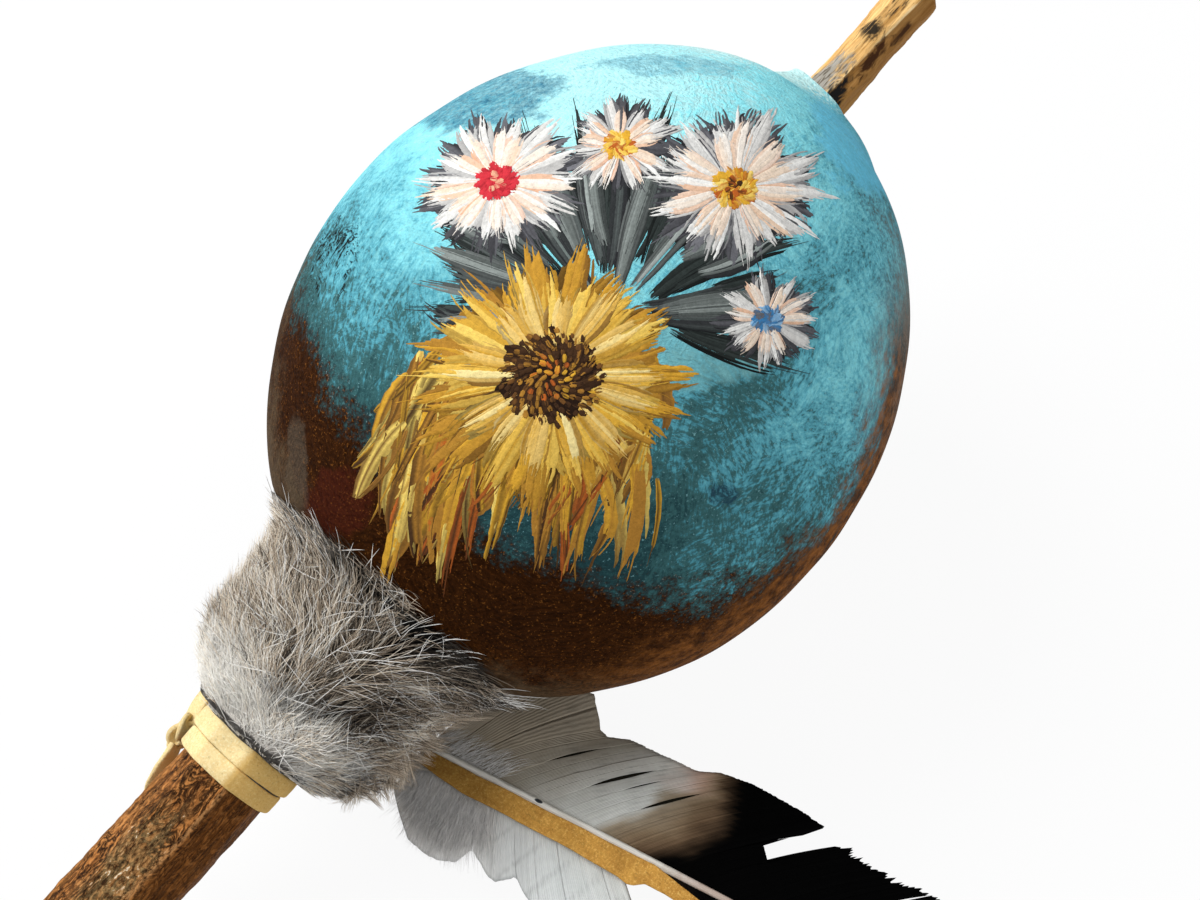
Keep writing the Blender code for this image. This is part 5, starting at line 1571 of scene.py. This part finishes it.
def feather_vane(name, side, node, finish):
    """One side of the feather: locks of joined barbs, each a few thin sheets rooted on the shaft. Locks draw
    apart in lens-shaped splits, and a dark lower layer lies behind these as a painted shadow. The inner
    vane's first barbs dip at their ends, under the gourd."""
    rng = np.random.default_rng(61 + side)
    runs, splits, lower = VANE_LOCKS[side]
    edges = [np.linspace(first, last, math.ceil((last - first) / 5.5) + 1) for first, last in (*runs, *lower)]
    sheets = [len(e) - 1 for e in edges]
    number = np.repeat(np.arange(len(edges)), sheets)
    start = np.concatenate([e[:-1] for e in edges])[:, None, None] * MM
    end = np.concatenate([e[1:] for e in edges])[:, None, None] * MM
    run_start = np.repeat([e[0] for e in edges], sheets)[:, None, None] * MM
    run_end = np.repeat([e[-1] for e in edges], sheets)[:, None, None] * MM
    below = (number >= len(runs))[:, None, None]
    count, rows, columns = len(start), 20, 13
    share = np.linspace(0, 1, rows)[None, :, None]
    spread = np.linspace(0, 1, columns)[None, None]
    root = start + (end - start + 0.4 * MM * (end == run_end)) * spread
    inside = np.clip(root, run_start + 0.02 * MM, run_end - 0.02 * MM)
    fray = np.where(root > 76 * MM, 0.020, 0.003) * rng.normal(size=(count, 1, columns))
    fray = fray * ((spread > 0.01) & (spread < 0.99))
    reach = barb_lengths(side, inside) * (1 + fray) * np.where(below, 0.93, 1)
    across, ahead = barb_line(reach, barb_sweep(side, inside), share)
    ahead = np.minimum(ahead, (FEATHER_LENGTH * 1.02 - root) * (0.4 + 0.6 * share))
    for spot, first, last, wide in splits:
        lens = np.sin(math.pi * np.clip((share - first) / (last - first), 0, 1)) ** 0.9 * wide * MM
        ahead = ahead + lens * (np.abs(start - spot * MM) < 0.1 * MM) * (1 - spread) ** 2 * 0.5
        ahead = ahead - lens * (np.abs(end - spot * MM) < 0.1 * MM) * spread ** 2 * 0.5
    lock = rng.normal(size=len(edges))[number][:, None, None]
    ripple = wander(joined(root / (13 * MM), root * 0), 1.0, 63)
    height = barb_height(root, across) - np.where(below, 1.0, 0.5) * MM
    height = height + (0.16 * lock + 0.22 * ripple) * MM * share ** 1.2
    if side > 0:
        height = height - INNER_DIP * smooth(root, 24 * MM, 14 * MM) * smooth(across, 12 * MM, 26 * MM)
    local = joined(root + ahead, SHAFT_OFFSET + side * (0.5 * SHAFT_SHOWN + across), height)
    tops = from_feather(local)
    tops[..., 2] = np.maximum(tops[..., 2], 0.5 * MM)
    points, faces, uv = thin_sheets(tops, FEATHER_UP, 0.14 * MM, side < 0)
    mottle = wander(local / MM, 9, 64) * (1.3 if side > 0 else 0.0)
    shade = root + (mottle + 0.3 * side * rng.normal(size=(count, 1, columns)) * (side > 0)) * MM
    colours = barb_colours(side, *np.broadcast_arrays(shade, across))
    bar = (root + ahead + 0.465 * across) / (8.2 * MM) + 0.12 * mottle
    bars = 1 - 0.20 * smooth(np.cos(2 * math.pi * bar), 0.92, 0.995) * smooth(across, 4 * MM, 9 * MM)
    edge = 1 - 0.25 * smooth(share, 0.95, 1.0)
    uneven = 0.035 + 0.13 * smooth(root, 46 * MM, 52 * MM) * (side > 0)
    streak = 1 + uneven * rng.normal(size=(count, 1, columns)) + 0.03 * lock
    colours = np.clip(colours * (bars * edge * streak)[..., None], 0.0005, 0.94)
    # The lower sheets are painted dark: a painted shadow seen through the splits.
    colours = np.where(below[..., None], np.array((0.020, 0.018, 0.012)), colours)
    piece = add_piece(name, points, faces, finish, "feather", [node],
                      colours=np.stack([colours, colours], 1), uv=uv)
    layer = piece.data.attributes.new("barb", "FLOAT", "POINT")
    numbers = np.broadcast_to(root, tops.shape[:3])
    layer.data.foreach_set("value", np.stack([numbers, numbers], 1).astype(np.float32).ravel())
    return piece


def feather_down(finish):
    """Loose down at the feather's foot: wavy strands that spread from the shaft, most of them to the outer
    side, where they lie over the first lock of barbs and follow its sweep."""
    rng = np.random.default_rng(71)
    count, steps = 3200, 6
    root = rng.uniform(1.6, 21, count) * MM
    side = np.where(rng.uniform(size=count) < 0.93, -1, 1)
    share = np.linspace(0, 1, steps)[None]
    length = (np.where(side < 0, barb_lengths(-1, root), 8 * MM) * rng.uniform(0.45, 1.07, count))[:, None]
    sweep = (np.where(side < 0, barb_sweep(-1, root), 0.8) + rng.normal(0, 0.15, count))[:, None]
    wave = 0.5 * MM * np.sin(share * 8 + rng.uniform(0, 6, (count, 1))) * share
    across, ahead = barb_line(length, sweep, share)
    height = barb_height(root[:, None], across) + rng.uniform(-0.2, 1.3, (count, 1)) * MM * share
    aside = SHAFT_OFFSET + side[:, None] * (0.6 * SHAFT_SHOWN + across)
    paths = from_feather(joined(root[:, None] + ahead + wave, aside, height))
    paths[..., 2] = np.maximum(paths[..., 2], 0.6 * MM)
    sides, ups = path_frames(paths, np.broadcast_to(FEATHER_UP, paths.shape))
    wide = np.full((count, 1), 0.06 * MM) * (1 - 0.6 * share)
    points, faces, uv = blades(paths, sides, ups, wide, wide)
    # Painted shade: each strand is darker at its root; strands rooted next to the fur are a little darker
    # too.
    tone = rng.uniform(0.74, 1.03, (count, 1, 1)) * (0.8 + 0.2 * smooth(root, 2 * MM, 8 * MM))[:, None, None]
    grey = np.array((0.97, 0.95, 0.92)) * tone * (0.85 + 0.15 * share[..., None])
    return add_piece("feather_fluff", points, faces, finish, "feather", ["feather_down"],
                     colours=blade_colours(grey), uv=uv)


def feather_thong(finish):
    """The thong glued along the shaft: a straight-edged strip, dark by the fur, that ends in a long point."""
    count = 190
    along = np.linspace(THONG_START, THONG_LENGTH, count)
    places = along / MM
    width = np.interp(places, (2.6, 8, 15, 41, 57, 60, 61.5, 63.7, 69, 75, 78, 79.5),
                      (3.8, 4.7, 5.4, 5.6, 6.3, 7.0, 6.6, 5.1, 4.1, 3.3, 1.0, 0.3)) * MM
    edge = SHAFT_OFFSET - SHAFT_SHOWN * 0.65 - np.interp(places, (64, 78, 79.5), (0, 2.6, 3.0)) * MM
    height = shaft_height(along) + (1.55 + 0.8 * smooth(places, 18, 4)) * MM
    local = joined(along, edge - width / 2, height)
    local[:, 1] += wander(local, 16 * MM, 81) * 0.12 * MM
    path = from_feather(local)
    side = np.broadcast_to(-FEATHER_SIDE, (count, 3))
    up = unit(np.cross(side, unit(np.gradient(path, axis=0))))
    across, above = strip_profile(28, width, THONG_THICKNESS)
    rings = carried(path, side, up, across, above)[:, ::-1]
    rings = rings + FEATHER_UP * (wander(rings, 6 * MM, 82) * 0.14 * MM)[..., None]
    tone = suede_colours(rings, 0.92, 83) * (0.44 + 0.62 * smooth(places, 3, 38))[:, None, None]
    return suede_strip("feather_strip", rings, tone, finish, "feather", "feather_thong")


# Stage


def floor():
    """A white table top: plain to the camera, where only the object's shadow tints it."""
    mesh = bpy.data.meshes.new("table_top")
    corners = ((-1, -1, 0), (1, -1, 0), (1, 1, 0), (-1, 1, 0))
    mesh.from_pydata(np.multiply(corners, TABLE_HALF).tolist(), [], [(0, 1, 2, 3)])
    table = bpy.data.objects.new("table_top", mesh)
    table.location = (0, 0, -TABLE_DROP)
    bpy.context.scene.collection.objects.link(table)
    f = Finish("white_table", 0.9)
    f.colour((0.86, 0.86, 0.86))
    seen = f.node("ShaderNodeLightPath", output="Is Camera Ray")
    for ray in ("Is Glossy Ray", "Is Transmission Ray"):
        seen = seen.most(f.node("ShaderNodeLightPath", output=ray))
    glow = f.node("ShaderNodeEmission", {}, {"Color": (1, 1, 1), "Strength": 1.0})
    both = f.node("ShaderNodeMixShader", {}, {0: seen * 0.93, 1: Value(f, f.shader.outputs[0]), 2: glow})
    f.tree.links.new(both.socket, f.tree.nodes["Material Output"].inputs["Surface"])
    mesh.materials.append(f.material)


def set_up(name, data, right, up, back, place):
    """Puts a camera or a lamp at a place, turned by the directions right, up and back."""
    obj = bpy.data.objects.new(name, data)
    obj.matrix_world = Matrix([*np.stack([right, up, back, place], 1).tolist(), [0, 0, 0, 1]])
    bpy.context.scene.collection.objects.link(obj)
    return obj


def lamp(name, towards, distance, size, energy):
    """A square area lamp that looks at the gourd from a direction."""
    data = bpy.data.lights.new(name, "AREA")
    data.size = size
    data.energy = energy
    back = unit(towards)
    side = unit(np.cross((0, 0, 1), back))
    set_up(name, data, side, np.cross(back, side), back, HEART + back * distance)


def lights():
    """Plain soft studio light: a large lamp from above on the left, a weak one on the right, a pale room."""
    lamp("key_lamp", -0.80 * RIGHT + 0.90 * UP + 0.75 * TOWARDS, 1.3, 0.8, 19)
    lamp("fill_lamp", 0.85 * RIGHT - 0.35 * UP + 0.7 * TOWARDS, 1.4, 1.2, 5.5)
    world = bpy.data.worlds.new("studio")
    bpy.context.scene.world = world
    world.use_nodes = True
    tree = world.node_tree
    room = tree.nodes["Background"]
    room.inputs["Color"].default_value = (0.95, 0.97, 1.0, 1)
    room.inputs["Strength"].default_value = 0.42
    white = tree.nodes.new("ShaderNodeBackground")
    white.inputs["Color"].default_value = (1, 1, 1, 1)
    both = tree.nodes.new("ShaderNodeMixShader")
    light = tree.nodes.new("ShaderNodeLightPath")
    for number, source in enumerate((light.outputs["Is Camera Ray"], room.outputs[0], white.outputs[0])):
        tree.links.new(source, both.inputs[number])
    tree.links.new(both.outputs[0], tree.nodes["World Output"].inputs["Surface"])


def camera():
    """The photograph's view: the gourd's heart lands on its pixel of the picture."""
    data = bpy.data.cameras.new("camera")
    data.sensor_width = SENSOR_WIDTH
    data.lens = FOCAL_PIXELS / IMAGE_SIZE[0] * SENSOR_WIDTH
    data.clip_start = 0.01
    right = (HEART_PIXEL[0] - IMAGE_SIZE[0] / 2) / FOCAL_PIXELS
    above = (IMAGE_SIZE[1] / 2 - HEART_PIXEL[1]) / FOCAL_PIXELS
    place = HEART - CAMERA_DISTANCE * (right * RIGHT + above * UP - TOWARDS)
    bpy.context.scene.camera = set_up("camera", data, RIGHT, UP, TOWARDS, place)
    bpy.context.scene.view_settings.view_transform = "Standard"


def main():
    camera()
    lights()
    floor()
    cream_suede = suede("cream_suede", (0.80, 0.58, 0.26), (0.93, 0.77, 0.41), (0.97, 0.88, 0.58))
    brown_suede = suede("brown_suede", (0.46, 0.205, 0.038), (0.84, 0.46, 0.100), (0.95, 0.64, 0.20))
    lace_tail("lace_end_lower", LOWER_TAIL, "lace_tail_lower", cream_suede)
    lace_tail("lace_end_upper", UPPER_TAIL, "lace_tail_upper", cream_suede)
    glue = glue_finish()
    gourd_skin(painted_ground())
    painted_flowers(oil_paint())
    whittled_stick(whittled_wood())
    neck_glue(glue)
    pelt_body(pelt_finish())
    fur_hair(hair_finish("rabbit_hair", 0.65))
    lace_binding(cream_suede)
    lace_knot(cream_suede)
    thong_tie(brown_suede)
    barbs = barb_finish()
    feather_shaft(quill_finish())
    feather_vane("feather_barbs_inner", 1, "feather_vane_inner", barbs)
    feather_vane("feather_barbs_outer", -1, "feather_vane_outer", barbs)
    feather_down(hair_finish("feather_down", 0.7))
    feather_thong(brown_suede)
    stone = pebble_finish()
    for name, node in frame["nodes"].items():
        if name.endswith("glue_collar"):
            node.data.materials[0] = glue
        elif name.startswith("pebble"):
            node.data.materials[0] = stone


main()
